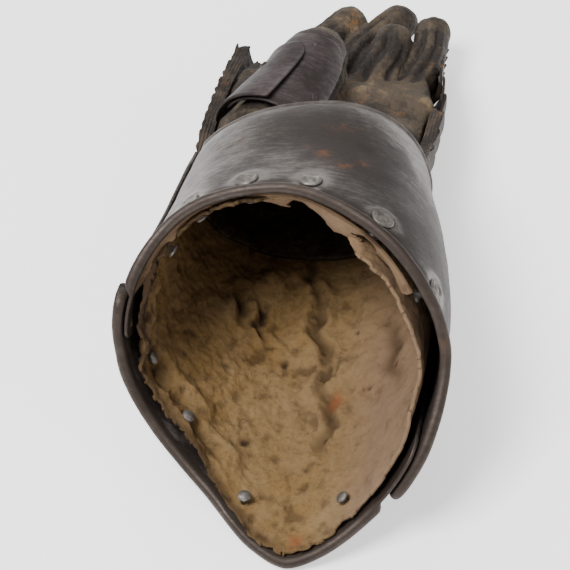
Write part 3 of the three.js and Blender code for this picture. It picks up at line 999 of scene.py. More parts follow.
@dataclass
class Lining:
    """The suede lining of the cuff: creased, crumbling, torn along its edge."""

    inset: float = 5.6
    leather: float = 2.0
    wrist: float = -5
    set_back: float = 2.6
    columns: int = 430
    rows: int = 150
    creases: Rows = field(
        default_factory=lambda: [
            # from y, from angle, to y, to angle, depth, width
            [-39, -45, -57, -33, 2.2, 2.6],
            [-45, -30, -62, -24, 1.6, 2.2],
            [-7, -12, -36, -4, 1.5, 3.0],
            [-36, -4, -80, 8, 2.4, 3.2],
            [-80, 8, -123, 13, 2.0, 3.0],
            [-100, -88, -110, -55, 2.6, 4.2],
            [-110, -55, -125, -35, 2.4, 3.6],
            [-70, -100, -100, -88, 1.8, 4.0],
            [-60, 40, -100, 46, 1.0, 4.0],
        ]
    )
    swells: Rows = field(
        default_factory=lambda: [
            # y, angle, height, length, width in degrees
            [-30, -28, 5.0, 9, 9],
            [-95, -108, 3.5, 26, 12],
            [-128, -50, 2.2, 12, 16],
            [-60, -6, 2.4, 34, 10],
            [-70, 28, 2.6, 36, 14],
            [-140, 20, 1.4, 12, 16],
            [-25, 100, 3.0, 30, 30],
        ]
    )
    pits: Rows = field(
        default_factory=lambda: [
            # y, angle, size
            [-115, -24, 2.0], [-72, -14, 1.5], [-92, 30, 0.9], [-60, 22, 0.9], [-86, 44, 0.8],
        ]
    )

    def depth(self, y: Array, angle: Array, rim: Array) -> Array:
        """Inset of the lining's outer face before its relief."""
        around = np.asarray(angle) % 360
        close = smoothstep(wrap(around), -93, -80) * smoothstep(wrap(around), 44, 30)
        slack = 5.5 * bump(around, 120, 30) - 1.9 * close
        return self.inset + slack * smoothstep(y / rim, 0.45, 1.0)

    def relief(self, y: Array, angle: Array, plain: Array) -> tuple[Array, Array]:
        """Height of folds and crumbs over the plain lining.

        Args:
            y: stations along the arm.
            angle: angles round it.
            plain: the same places in x, y, z.
        Returns:
            The height, and the painted shade: how deep in a crease, pit or crumb hollow each place
                is.
        """
        signed = wrap(angle)
        height, deep = np.zeros_like(y), np.zeros_like(y)
        for at, turn, tall, long, wide in self.swells:
            height += tall * bump(y, at, long) * bump(wrap(signed - turn), 0, wide)
        for y0, a0, y1, a1, depth, wide in self.creases:
            span = np.array([y1 - y0, a1 - a0])
            share = np.clip(((y - y0) * span[0] + (signed - a0) * span[1]) / (span @ span), 0, 1)
            wobble = 2.2 * np.sin(y / 5.0) + 1.2 * np.sin(y / 2.3 + 1)
            away = np.hypot(y - y0 - share * span[0], signed - a0 - share * span[1] + wobble)
            line = bump(away, 0, wide) * np.sin(math.pi * np.clip(share * 0.9 + 0.08, 0, 1))
            height += depth * (0.8 * bump(away, wide * 1.9, wide * 1.2) - line)
            # Painted shade in the crease.
            deep += 0.8 * line
        flat = plain.reshape(-1, 3)
        ochre = 1 - self.smooth_share(y, signed)
        crumbs = rough(flat, 5.0, 11, 3).reshape(y.shape) * (0.30 + 0.75 * ochre)
        waves = rough(flat, 24, 21, 2).reshape(y.shape)
        fine = rough(flat, 1.9, 31, 2).reshape(y.shape) * (0.12 + 0.30 * ochre)
        # Painted shade in the crumbs' hollows.
        deep += 0.55 * ochre * smoothstep(-crumbs, 0.35, 0.9)
        for at, turn, wide in self.pits:
            hole = bump(np.hypot(y - at, (signed - turn) * 0.95), 0, wide)
            # Painted shade in the pit.
            height, deep = height - 1.8 * hole, deep + 1.4 * hole
        return height + crumbs + 0.9 * waves + fine, deep

    def smooth_share(self, y: Array, signed: Array) -> Array:
        """Where the leather is smooth and pinkish instead of rough and ochre."""
        right = smoothstep(signed, 10, 40) * smoothstep(signed, 175, 120)
        return np.clip(right * (0.65 + 0.35 * smoothstep(-y, 40, 90)), 0, 1)

    def form(self) -> Form:
        """The lining as a torn sheet, at its inner face.

        Returns:
            Its form, painted with smooth, deep (painted shade) and burnt.
        """
        angles = np.linspace(-180, 180, self.columns, endpoint=False)
        share = np.linspace(0, 1, self.rows) ** 0.9
        palm_side = smoothstep(np.abs(wrap(angles)), 60, 95)
        waves = 1.6 * np.sin(np.radians(7 * angles)) + np.sin(np.radians(13 * angles))
        rag = (0.2 + 0.8 * palm_side) * waves
        torn = 7 * bump(angles % 360, 152, 9)
        rim = SKIN.rim_y(angles) + self.set_back + rag + torn
        y = self.wrist + (rim - self.wrist)[:, None] * share[None, :]
        around = np.broadcast_to(angles[:, None], y.shape)
        inset = self.depth(y, around, rim[:, None]) + self.leather
        plain = SKIN.point(y, around, inset)
        height, deep = self.relief(y, around, plain)
        fade = smoothstep(-y, 6, 22)
        from_edge = y - rim[:, None]
        flat = plain.reshape(-1, 3)
        rising = smoothstep(rough(flat, 16, 41).reshape(y.shape), 0, 0.8)
        curl = 2.2 * bump(from_edge, 0, 3.0) * rising
        lifted = np.clip(height * fade, -1.9, 9.0) + curl
        points = SKIN.point(y, around, inset + lifted)
        bites, tatters = rough(flat, 9, 51).reshape(y.shape), rough(flat, 3, 52).reshape(y.shape)
        ragged = 1.9 + 0.9 * bites + 0.9 * tatters
        weak = (from_edge < 14) & (np.abs(wrap(around - 110)) < 45)
        rips = (rough(flat, 14, 61).reshape(y.shape) > 0.72) & weak
        keep = (from_edge > ragged - 2.0) & ~rips
        # Painted shade along the torn edge on the left half, and deep inside the cuff on its left
        # side.
        border = bump(from_edge, 1.5, 4.0) * smoothstep(wrap(around), 30, -30) * 0.8
        left = 0.5 * bump(wrap(around + 118), 0, 26) * smoothstep(-y, 70, 110)
        burnt = bump(np.hypot(y + 94, wrap(around) - 14), 0, 3.4) * 0.8 + 0.7 * bump(
            np.hypot(y + 162, wrap(around) - 6), 0, 3
        )
        paint = {
            "smooth": self.smooth_share(y, wrap(around)),
            "deep": np.clip(deep + border + left, 0, 1),
            "burnt": np.clip(burnt, 0, 1),
        }
        return sheet_form(points, paint, keep, ring=True)

    def band_form(self) -> Form:
        """The turned edge that hangs under the palm side of the rim, torn and holed.

        Returns:
            Its form, as a single sheet.
        """
        angles = np.linspace(112, 262, 260)
        share = np.linspace(0, 1, 40)
        rim = SKIN.rim_y(angles)[:, None] + 4.6
        around = np.broadcast_to(angles[:, None], (len(angles), len(share)))
        hang = (4.0 + 7.0 * bump(angles, 156, 22)) * smoothstep(angles, 262, 240)
        hang = hang + 1.1 * np.sin(np.radians(angles * 7)) + 0.8 * np.sin(np.radians(angles * 17))
        hang = hang[:, None]
        y = rim + 3.0 * share[None, :] ** 2
        plain = SKIN.point(y, around, 4.2 + hang * share[None, :])
        flat = plain.reshape(-1, 3)
        waves = rough(flat, 12, 71, 3).reshape(around.shape)
        points = SKIN.point(y + 1.6 * waves * share[None, :], around, 4.2 + hang * share[None, :])
        edge = 1 - 0.16 * (1 + rough(flat, 6, 72).reshape(around.shape))
        hole = np.hypot((around - 166) / 8.5, (share[None, :] - 0.62) / 0.30) < 1 + 0.5 * waves
        slit = np.hypot((around - 140) / 7, (share[None, :] - 0.55) / 0.26) < 0.8 + 0.6 * waves
        # Painted shade on the turned edge under the rim: darker all over, more in its folds and
        # along its top.
        folded = 0.4 * smoothstep(waves, 0.1, 0.7) + 0.4 * (share[None, :] < 0.15)
        paint = {
            "smooth": np.full(around.shape, 0.9),
            "deep": np.clip(0.22 + folded, 0, 1),
            "burnt": np.zeros(around.shape),
        }
        return sheet_form(points, paint, (share[None, :] < edge) & ~hole & ~slit, ring=False)

    def build(self) -> None:
        """Makes the lining and its hanging edge."""
        piece = self.form().build("suede_lining", Finishes.SUEDE.value, "suede")
        thickened(piece, 1.5, 1)
        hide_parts("cuff_lining")
        report(piece)
        band = self.band_form().build("lining_turned_edge", Finishes.SUEDE.value, "suede")
        report(thickened(band, 1.1, 0))


# ---- hand ---------------------------------------------------------------------------------------


@dataclass
class HandArmour:
    """Lames on the back of the hand, the straps under their ends and their rivets."""

    count: int = 7
    first: float = -3
    pitch: float = 14.5
    length: float = 21
    half_arc: float = 95
    root_inset: float = 4.6
    lip_inset: float = 0.7
    thickness: float = 1.2
    end_hug: float = 1.8
    strap_start: float = 2
    strap_ends: dict[int, float] = field(default_factory=lambda: {-1: 104, 1: 62})
    strap_top: float = 6.2
    strap_floor: float = 7.5
    strap_crest: float = 1.4
    strap_layer: float = 1.5

    def lame(self, index: int) -> Form:
        """One lame with worn, slightly uneven edges.

        Args:
            index: 0 at the wrist.
        Returns:
            Its form.
        """
        start = self.first + self.pitch * index
        end = start + self.length
        angles = np.linspace(-self.half_arc, self.half_arc, 170)
        loops = []
        for angle in angles:
            near = max(0.0, (abs(angle) - self.half_arc + 14) / 14)
            cut = 0.42 if angle > 0 else 0.13
            trim = cut * self.length * (1 - math.sqrt(1 - 0.9 * near * near))
            chip = 0.5 * math.sin(angle * 0.9 + index) + 0.35 * math.sin(angle * 2.3 + 2 * index)
            y = np.linspace(start + trim, end - 0.25 * trim + 0.4 * chip, 22)
            root = self.root_inset - self.end_hug * float(smoothstep(abs(angle), 68, 84))
            depth = root + (self.lip_inset - root) * (y - start) / self.length
            edge = 0.45 * bump(y, y[-1], 1.0)
            outline = np.concatenate([depth + edge, (depth + self.thickness)[::-1]])
            loops.append(np.stack([np.concatenate([y, y[::-1]]), outline], axis=-1))
        loops = np.array(loops)
        y, inset = loops[..., 0], loops[..., 1]
        around = np.broadcast_to(angles[:, None], y.shape)
        plain = SKIN.point(y, around, inset).reshape(-1, 3)
        uneven = np.clip(0.22 * rough(plain, 13, 80 + index) + 0.1 * rough(plain, 4, 90), -0.3, 0.3)
        points = SKIN.point(y, around, inset + uneven.reshape(y.shape))
        lip = smoothstep(y - end, -3.2, -0.6)
        paint = {
            "edge": np.zeros(len(plain)),
            "wear": (0.45 * lip + 0.25 * bump(around, -90, 14)).ravel(),
            "grime": (0.3 * smoothstep(np.abs(around), 50, 75)).ravel(),
        }
        return Form(points.reshape(-1, 3), swept(points), paint)

    def strap(self, side: int) -> Form:
        """The leather under the lames' ends on one side, its layered edge turned up past them.

        Args:
            side: -1 left, 1 right.
        Returns:
            Its form.
        """
        stop = self.strap_ends[side]
        ys = np.linspace(self.strap_start, stop, 220)
        under = np.linspace(68, 94, 12)
        levels = np.linspace(self.strap_floor, self.strap_crest, 30)
        drop = self.strap_floor - self.strap_crest
        turn = 2 * math.pi / self.strap_layer
        loops = []
        for y in ys:
            swell = 0.45 * math.sin((y - 7) * 2 * math.pi / self.pitch)
            ending = min(1.0, (stop - y) / 5) ** 0.5
            outer = SKIN.point(y, under * side, self.strap_top - 0.3 * swell)
            knobs = 0.55 * math.sin(y * 2 * math.pi / 7.3) * (0.6 + 0.4 * math.sin(y / 9))
            crest = 1.3 + knobs + 5.0 * (1 - ending)
            rise = crest + (levels - self.strap_crest) * (self.strap_floor - crest) / drop
            layers = 0.42 * np.sin(rise * turn + 0.9 * math.sin(y / 11)) + 0.2 * math.sin(y / 3.1)
            wall = np.linspace(self.strap_top, crest + 0.4, 6)
            inside = SKIN.point(y, np.full(len(wall), 95.8) * side, wall)
            face = SKIN.point(y, (98.6 + layers) * side, rise)[::-1]
            inner = SKIN.point(y, under[::-1] * side, self.strap_floor)
            loops.append(np.concatenate([outer, inside, face, inner]))
        loops = np.array(loops)
        flat = loops.reshape(-1, 3)
        flat = flat + 0.12 * grain(flat, 3, 95)[:, None]
        hidden, bottom = np.full(len(under) + 6, 3.0), np.full(len(under), self.strap_floor)
        depth = np.tile(np.concatenate([hidden, levels[::-1], bottom]), len(ys))
        lines = 0.5 + 0.5 * np.sin(depth * turn)
        paint = {
            "light": 0.55 + 0.4 * grain(flat, 12, 96),
            "crease": np.clip(0.8 * lines + grain(flat, 5, 97), 0, 1),
        }
        return Form(flat, swept(loops), paint)

    def rivets(self) -> None:
        """One small rivet near each end of every lame."""
        head = turned_form([[0.01, -1.0], [1.5, -1.0], [1.8, 0.0], [1.5, 0.55], [0.01, 0.9]], 18)
        places, normals = [], []
        for index in range(self.count):
            y = self.first + self.pitch * index + 0.55 * self.length
            for angle in (-84, 84):
                depth = self.root_inset + (self.lip_inset - self.root_inset) * 0.55
                places.append(SKIN.point(y, angle, depth))
                normals.append(SKIN.outward(y, angle, depth))
        piece = ScatterTree(uneven=0.1, seed=9).scatter(
            "lame_rivets", head, np.array(places), np.array(normals), Finishes.RIVET.value, "steel"
        )
        report(piece)

    def build(self) -> None:
        """Makes lames, straps and rivets."""
        for index in range(self.count):
            node = "knuckle_plate" if index == self.count - 1 else f"metacarpal_lame_{index + 1}"
            piece = self.lame(index).build(f"{node}_skin", Finishes.LAME.value, "steel")
            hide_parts(node)
            report(piece)
        for side, node in ((-1, "lame_strap_left"), (1, "lame_strap_right")):
            piece = self.strap(side).build(f"{node}_leather", Finishes.STRAP.value, "glove_leather")
            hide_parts(node)
            report(piece)
        self.rivets()


@dataclass
class Stall:
    """A finger or thumb stall: its bent axis and its size."""

    name: str
    path: Rows
    root: float
    tip: float

    def __post_init__(self) -> None:
        """Samples the axis evenly by length."""
        ends = SKIN.hand(self.path)
        a, b, c = ends
        knots = np.array([2 * a - b, a, b, c, 2 * c - b])
        t = np.linspace(0, 1, 60, endpoint=False)[:, None]
        parts = []
        for k in (0, 1):
            p0, p1, p2, p3 = knots[k : k + 4]
            parts.append(
                0.5 * (2 * p1 + (p2 - p0) * t + (2 * p0 - 5 * p1 + 4 * p2 - p3) * t**2
                       + (3 * p1 - p0 - 3 * p2 + p3) * t**3)
            )
        line = np.concatenate([*parts, [c]])
        run = np.concatenate([[0], np.cumsum(np.linalg.norm(np.diff(line, axis=0), axis=1))])
        self.length = run[-1]
        even = np.linspace(0, self.length, 101)
        self.axis = np.stack([np.interp(even, run, line[:, i]) for i in range(3)], axis=-1)
        self.ahead = np.gradient(self.axis, axis=0)
        self.ahead /= np.linalg.norm(self.ahead, axis=1, keepdims=True)
        palm_up = np.diff(SKIN.hand([[0, 0, 0], [0, 0, 1]]), axis=0)[0]
        self.right = np.cross(self.ahead, palm_up)
        self.right /= np.linalg.norm(self.right, axis=1, keepdims=True)
        self.up = np.cross(self.right, self.ahead)

    def at(self, share: Array, angle: Array, height: Array) -> Array:
        """Places round the stall.

        Args:
            share: 0 at the root, 1 where the rounded tip starts.
            angle: degrees, 0 towards the palm side.
            height: above the leather.
        Returns:
            Points with a last axis of x, y, z.
        """
        share, angle, height = np.broadcast_arrays(share, angle, height)
        pick = np.clip(share, 0, 1) * 100
        radius = (self.root + (self.tip - self.root) * np.clip(share, 0, 1) + height)[..., None]
        a = np.radians(angle)[..., None]
        middle, right, up = (between(rows, pick) for rows in (self.axis, self.right, self.up))
        return middle + right * np.sin(a) * radius + up * np.cos(a) * radius

    def solid(self) -> Form:
        """The stall as a plain closed form with a rounded tip.

        Returns:
            Its form.
        """
        turns = np.linspace(0, 360, 48, endpoint=False)
        level = np.zeros(len(turns))
        rings = [self.at(level + share, turns, level) for share in np.linspace(0, 1, 40)]
        for turn in np.linspace(10, 86, 9):
            reach = self.tip * math.sin(math.radians(turn))
            shrink = self.tip * (math.cos(math.radians(turn)) - 1)
            rings.append(self.at(level + 1, turns, level + shrink) + self.ahead[-1] * reach)
        points = np.array(rings)
        return Form(points.reshape(-1, 3), capped(points))

    def locate(self, points: Array) -> tuple[Array, Array, Array]:
        """Share along the stall, angle round it and distance from its axis for each point."""
        gaps = np.linalg.norm(points[:, None, :] - self.axis[None, ::2, :], axis=2)
        near = gaps.argmin(axis=1)
        offset = points - self.axis[near * 2]
        side = (offset * self.right[near * 2]).sum(axis=1)
        rise = (offset * self.up[near * 2]).sum(axis=1)
        return near / 50, np.degrees(np.arctan2(side, rise)), gaps.min(axis=1)


def capped(rings: Array) -> list[tuple[int, ...]]:
    """Faces of a tube through rings of points, closed at both ends.

    Args:
        rings: an array of rings by points by 3.
    Returns:
        The faces, as indices into the flattened rings.
    """
    count, size = rings.shape[:2]
    faces = []
    for i in range(count - 1):
        here, there = i * size, (i + 1) * size
        for j in range(size):
            k = (j + 1) % size
            faces.append((here + j, here + k, there + k, there + j))
    faces.append(tuple(reversed(range(size))))
    faces.append(tuple((count - 1) * size + j for j in range(size)))
    return faces


@dataclass
class Glove:
    """The leather glove: hand and stalls in one skin, creased where the fingers bend."""

    inset: float = 8.6
    mouth: float = -17
    voxel: float = 1.25
    stalls: tuple[Stall, ...] = (
        Stall("index", [[-28, 78, -11], [-19, 116, -12], [-5, 145.5, -11]], 10.8, 9),
        Stall("middle", [[-8, 78, -14], [3, 118, -13], [19, 149, -11]], 11, 9.4),
        Stall("ring", [[12, 78, -11], [18, 98, -6], [21, 115, 0]], 12.2, 9.6),
        Stall("little", [[31, 78, -11], [37, 108, -8.5], [37.5, 134, -6]], 9.2, 8.4),
        Stall("thumb", [[-22, 14, 8], [-12, 50, 11], [-8, 79, 14]], 20, 13.4),
    )
    creases: dict[str, Rows] = field(
        default_factory=lambda: {
            # angle, from share, to share, depth, width in degrees
            "index": [[20, 0.1, 0.8, 0.9, 9], [-30, 0.4, 0.95, 0.6, 8]],
            "middle": [[-10, 0.2, 0.9, 1.1, 9], [35, 0.1, 0.7, 0.8, 8]],
            "ring": [[-4, 0.1, 0.95, 1.9, 10], [48, 0.15, 0.9, 1.2, 7], [-50, 0.1, 0.9, 1.0, 8]],
            "little": [[-22, 0.1, 0.95, 1.2, 9], [24, 0.1, 0.95, 1.2, 9]],
            "thumb": [[70, 0.2, 0.9, 0.8, 6], [88, 0.1, 0.95, 1.0, 6]],
        }
    )

    def palm(self) -> Form:
        """The hand of the glove as a closed form."""
        rows = [(y, 0.0) for y in np.linspace(self.mouth, 78, 50)]
        rows += [(84, 0.6), (88, 1.5), (92, 3.4), (94, 5)]
        angles = np.linspace(0, 360, 120, endpoint=False)
        rings = np.array([SKIN.point(y, angles, self.inset + extra) for y, extra in rows])
        return Form(rings.reshape(-1, 3), capped(rings))

    def joined(self) -> bpy.types.Object:
        """Hand and stalls as one skin.

        Returns:
            The object, with its modifiers applied.
        """
        whole = self.palm()
        for stall in self.stalls:
            whole = whole.plus(stall.solid())
        obj = whole.build("leather_glove", Finishes.GLOVE.value, "glove_leather")
        mesh = obj.modifiers.new("one_skin", "REMESH")
        mesh.mode, mesh.voxel_size = "VOXEL", self.voxel / MM
        relax = obj.modifiers.new("relax", "SMOOTH")
        relax.factor, relax.iterations = 0.5, 6
        return applied(obj)

    def sculpt(self, obj: bpy.types.Object) -> None:
        """Presses the creases in and paints the leather's lighter places, the painted shade in its
        folded creases, and a painted highlight and painted shadow on the index fingertip.

        Args:
            obj: the glove's skin.
        """
        mesh = obj.data
        count = len(mesh.vertices)
        places, normals = np.zeros(count * 3), np.zeros(count * 3)
        mesh.vertices.foreach_get("co", places)
        mesh.vertices.foreach_get("normal", normals)
        places, normals = places.reshape(-1, 3), normals.reshape(-1, 3)
        arm = (places * MM - np.array(SEAT.offset)) @ SEAT.turn()
        spots = [stall.locate(arm) for stall in self.stalls]
        reach = np.array([
            away - (s.root + (s.tip - s.root) * share)
            for s, (share, _, away) in zip(self.stalls, spots)
        ])
        own = reach.argmin(axis=0)
        push = 0.55 * rough(arm, 15, 101, 3) + 0.25 * rough(arm, 4, 102, 2)
        crease, light = np.zeros(count), 0.25 + 0.5 * rough(arm, 20, 103)
        for k, stall in enumerate(self.stalls):
            share, angle, _ = spots[k]
            mine = (own == k) & (reach[k] < 2.5)
            for turn, start, stop, depth, wide in self.creases[stall.name]:
                along = smoothstep(share, start - 0.1, start + 0.1)
                along = along * smoothstep(share, stop + 0.1, stop - 0.1)
                bend = wrap(angle - turn - 6 * np.sin(share * 7 + k))
                line = bump(bend, 0, wide) * along * mine
                # Painted shade in the crease.
                crease += line
                banks = bump(np.abs(bend), 2 * wide, wide)
                push -= depth * line - 0.5 * depth * banks * along * mine
            rings = np.sin(share * stall.length / 3.2 + 2 * np.sin(np.radians(angle)))
            push += 0.16 * rings * mine * smoothstep(share, 0.1, 0.4)
            if stall.name == "index":
                # Index fingertip: painted highlight on its lit end and painted shadow of the thumb
                # plate just behind it.
                lit_tip, dark = smoothstep(share, 0.80, 0.88), smoothstep(share, 0.86, 0.78)
                light += (0.55 * lit_tip - 0.35 * dark) * mine
            light += 0.35 * smoothstep(share, 0.8, 1.1) * mine
        ridge = bump(arm[:, 1], 64, 9) * (np.abs(arm[:, 0] - 12) < 34) * (arm[:, 2] > -12)
        push += 1.6 * ridge * (1 + grain(arm, 9, 104))
        light += 0.7 * ridge
        moved = places + normals * (push / MM)[:, None]
        mesh.vertices.foreach_set("co", moved.ravel())
        for key, values in (("light", np.clip(light, 0, 1.2)), ("crease", np.clip(crease, 0, 1))):
            layer = mesh.attributes.new(key, "FLOAT", "POINT")
            layer.data.foreach_set("value", values.astype(np.float32))

    def open_mouth(self, obj: bpy.types.Object) -> None:
        """Takes the closed end off at the wrist.

        Args:
            obj: the glove's skin.
        """
        work = bmesh.new()
        work.from_mesh(obj.data)
        turn, shift = SEAT.turn(), np.array(SEAT.offset)
        y = [((np.array(v.co) * MM - shift) @ turn)[1] for v in work.verts]
        gone = [v for v, at in zip(work.verts, y) if at < self.mouth + 1.6]
        bmesh.ops.delete(work, geom=gone, context="VERTS")
        work.to_mesh(obj.data)
        work.free()

    def build(self) -> None:
        """Makes the glove."""
        obj = self.joined()
        self.open_mouth(obj)
        self.sculpt(obj)
        thickened(obj, 1.8, -1)
        tidy_mesh(obj)
        dress(obj, Finishes.GLOVE.value)
        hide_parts("glove_hand", "glove_knuckles", *(f"{s.name}_stall" for s in self.stalls))
        report(obj)


@dataclass
class ThumbArmour:
    """The plates on the thumb and their rivets."""

    thickness: float = 1.2
    plates: dict[str, tuple[float, ...]] = field(
        default_factory=lambda: {
            # from share, to share, left, right, root height, lip height
            "thumb_main_plate": (0.06, 0.92, -60, 62, 2.6, 2.2),
            "thumb_side_plate": (0.04, 0.78, -84, 4, 5.4, 4.4),
            "thumb_tip_plate": (0.84, 1.0, -72, 66, 0.6, 0.8),
        }
    )

    def plate(self, stall: Stall, row: tuple[float, ...], seed: int) -> Form:
        """One plate over part of the thumb.

        Args:
            stall: the thumb's stall.
            row: start, stop, left, right, root height and lip height.
            seed: picks its unevenness.
        Returns:
            Its form.
        """
        start, stop, left, right, root, lip = row
        loops = []
        angles = np.linspace(left, right, 90)
        for angle in angles:
            near = abs(2 * (angle - left) / (right - left) - 1)
            trim = 0.3 * (stop - start) * (1 - math.sqrt(max(0.0, 1 - 0.96 * near**6)))
            share = np.linspace(start + 0.15 * trim, stop - trim, 40)
            height = root + (lip - root) * (share - start) / (stop - start)
            outer = stall.at(share, angle, height + self.thickness)
            inner = stall.at(share[::-1], angle, height[::-1])
            loops.append(np.concatenate([outer, inner]))
        loops = np.array(loops)
        flat = loops.reshape(-1, 3)
        share, angle, _ = stall.locate(flat)
        middle = stall.axis[(np.clip(share, 0, 1) * 100).astype(int)]
        out = flat - middle
        out /= np.linalg.norm(out, axis=1, keepdims=True)
        uneven = np.clip(0.25 * rough(flat, 14, seed) + 0.08 * rough(flat, 4, seed + 1), -0.3, 0.3)
        border = bump(wrap(angle - right), 0, 4) + bump(wrap(angle - left), 0, 4)
        border = border + bump(share, stop, 0.02)
        paint = {
            "edge": np.zeros(len(flat)),
            "wear": np.clip(0.35 * border, 0, 1) + 0.25 * grain(flat, 18, seed + 2),
            "grime": 0.3 * smoothstep(share, 0.2, 0.05),
        }
        return Form(flat + out * uneven[:, None], swept(loops), paint)

    def build(self, stall: Stall) -> None:
        """Makes plates and rivets on the thumb's stall.

        Args:
            stall: the thumb's stall.
        """
        for seed, (node, row) in enumerate(self.plates.items()):
            form = self.plate(stall, row, 120 + 5 * seed)
            piece = form.build(f"{node}_skin", Finishes.HAND.value, "dark_steel")
            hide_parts(node)
            report(piece)
        head = turned_form(
            [
                [0.01, -2.0], [1.6, -2.0], [1.9, 0.0], [1.6, 0.45],
                [1.1, 0.2], [0.8, 0.5], [0.01, 0.6],
            ],
            20,
        )
        spots = [(0.52, -44, 6.0), (0.80, 11, 3.6), (0.34, 46, 3.6)]
        places = np.array([stall.at(np.array(a), np.array(b), np.array(c)) for a, b, c in spots])
        middles = np.array([stall.axis[int(a * 100)] for a, _, _ in spots])
        normals = places - middles
        normals /= np.linalg.norm(normals, axis=1, keepdims=True)
        piece = ScatterTree(seed=12).scatter(
            "thumb_rivets", head, places, normals, Finishes.HAND.value, "steel"
        )
        report(piece)


# ---- what repeats -------------------------------------------------------------------------------


@dataclass
class ScatterTree:
    """Geometry Nodes that set copies of a small part on points, turned to the points' normals."""

    scale: float = 1.0
    uneven: float = 0.06
    seed: int = 4

    def tree(self, prototype: bpy.types.Object, finish: Finish) -> bpy.types.NodeTree:
        """Builds the tree with inputs Geometry, Size, Uneven and Seed.

        Args:
            prototype: the part to copy.
            finish: the copies' material.
        Returns:
            The node tree.
        """
        tree = bpy.data.node_groups.new(f"scatter_{prototype.name}", "GeometryNodeTree")
        face = tree.interface
        face.new_socket("Geometry", in_out="INPUT", socket_type="NodeSocketGeometry")
        for name, kind in (("Size", "Float"), ("Uneven", "Float"), ("Seed", "Int")):
            face.new_socket(name, in_out="INPUT", socket_type=f"NodeSocket{kind}")
        face.new_socket("Geometry", in_out="OUTPUT", socket_type="NodeSocketGeometry")
        node, link = tree.nodes.new, tree.links.new
        start, end = node("NodeGroupInput"), node("NodeGroupOutput")
        source, align = node("GeometryNodeObjectInfo"), node("FunctionNodeAlignRotationToVector")
        source.inputs["Object"].default_value = prototype
        align.axis = "Z"
        normal = node("GeometryNodeInputNamedAttribute")
        normal.data_type = "FLOAT_VECTOR"
        normal.inputs["Name"].default_value = "outward"
        link(normal.outputs["Attribute"], align.inputs["Vector"])
        chance = node("FunctionNodeRandomValue")
        chance.data_type = "FLOAT"
        low, high = node("ShaderNodeMath"), node("ShaderNodeMath")
        low.operation, high.operation = "SUBTRACT", "ADD"
        for maths in (low, high):
            link(start.outputs["Size"], maths.inputs[0])
            link(start.outputs["Uneven"], maths.inputs[1])
        floats = [s for s in chance.inputs if s.type == "VALUE"]
        link(low.outputs[0], floats[0])
        link(high.outputs[0], floats[1])
        link(start.outputs["Seed"], chance.inputs["Seed"])
        copies = node("GeometryNodeInstanceOnPoints")
        link(start.outputs["Geometry"], copies.inputs["Points"])
        link(source.outputs["Geometry"], copies.inputs["Instance"])
        link(align.outputs["Rotation"], copies.inputs["Rotation"])
        link(next(s for s in chance.outputs if s.type == "VALUE"), copies.inputs["Scale"])
        real, paint = node("GeometryNodeRealizeInstances"), node("GeometryNodeSetMaterial")
        paint.inputs["Material"].default_value = finish.material()
        link(copies.outputs["Instances"], real.inputs[0])
        link(real.outputs[0], paint.inputs["Geometry"])
        link(paint.outputs[0], end.inputs[0])
        return tree

    def scatter(
        self, name: str, form: Form, places: Array, normals: Array, finish: Finish, slot: str
    ) -> bpy.types.Object:
        """Sets copies of a small form on places and makes one plain mesh of them.

        Args:
            name: the piece's name.
            form: the small part, in millimetres, with its own +Z outwards.
            places: N by 3 places in the arm frame.
            normals: the way out at each place, in the arm frame.
            finish: the material.
            slot: not used.
        Returns:
            The piece.
        """
        proto_mesh = bpy.data.meshes.new(f"{name}_one")
        proto_mesh.from_pydata((form.points / MM).tolist(), [], form.faces)
        proto = bpy.data.objects.new(f"{name}_one", proto_mesh)
        mesh = bpy.data.meshes.new(name)
        mesh.from_pydata(SEAT.place(places).tolist(), [], [])
        outward = mesh.attributes.new("outward", "FLOAT_VECTOR", "POINT")
        turned = np.asarray(normals, float) @ SEAT.turn().T
        outward.data.foreach_set("vector", turned.astype(np.float32).ravel())
        obj = bpy.data.objects.new(name, mesh)
        for each in (proto, obj):
            bpy.context.scene.collection.objects.link(each)
        modifier = obj.modifiers.new("scatter", "NODES")
        modifier.node_group = self.tree(proto, finish)
        wanted = {"Size": self.scale, "Uneven": self.uneven, "Seed": self.seed}
        for item in modifier.node_group.interface.items_tree:
            if item.in_out == "INPUT" and item.name in wanted:
                modifier[item.identifier] = wanted[item.name]
        applied(obj)
        bpy.data.objects.remove(proto)
        return dress(tidy_mesh(obj), finish)


def turned_form(profile: Rows, around: int) -> Form:
    """A turned part from a profile of radius and height, closed at both ends.

    Args:
        profile: rows of radius and height, from the bottom middle to the top middle.
        around: corners of each ring.
    Returns:
        The form, with its axis along +Z.
    """
    turns = np.linspace(0, 2 * math.pi, around, endpoint=False)
    rings = np.array([[(r * math.cos(a), r * math.sin(a), z) for a in turns] for r, z in profile])
    return Form(rings.reshape(-1, 3), capped(rings))


# ---- stage --------------------------------------------------------------------------------------


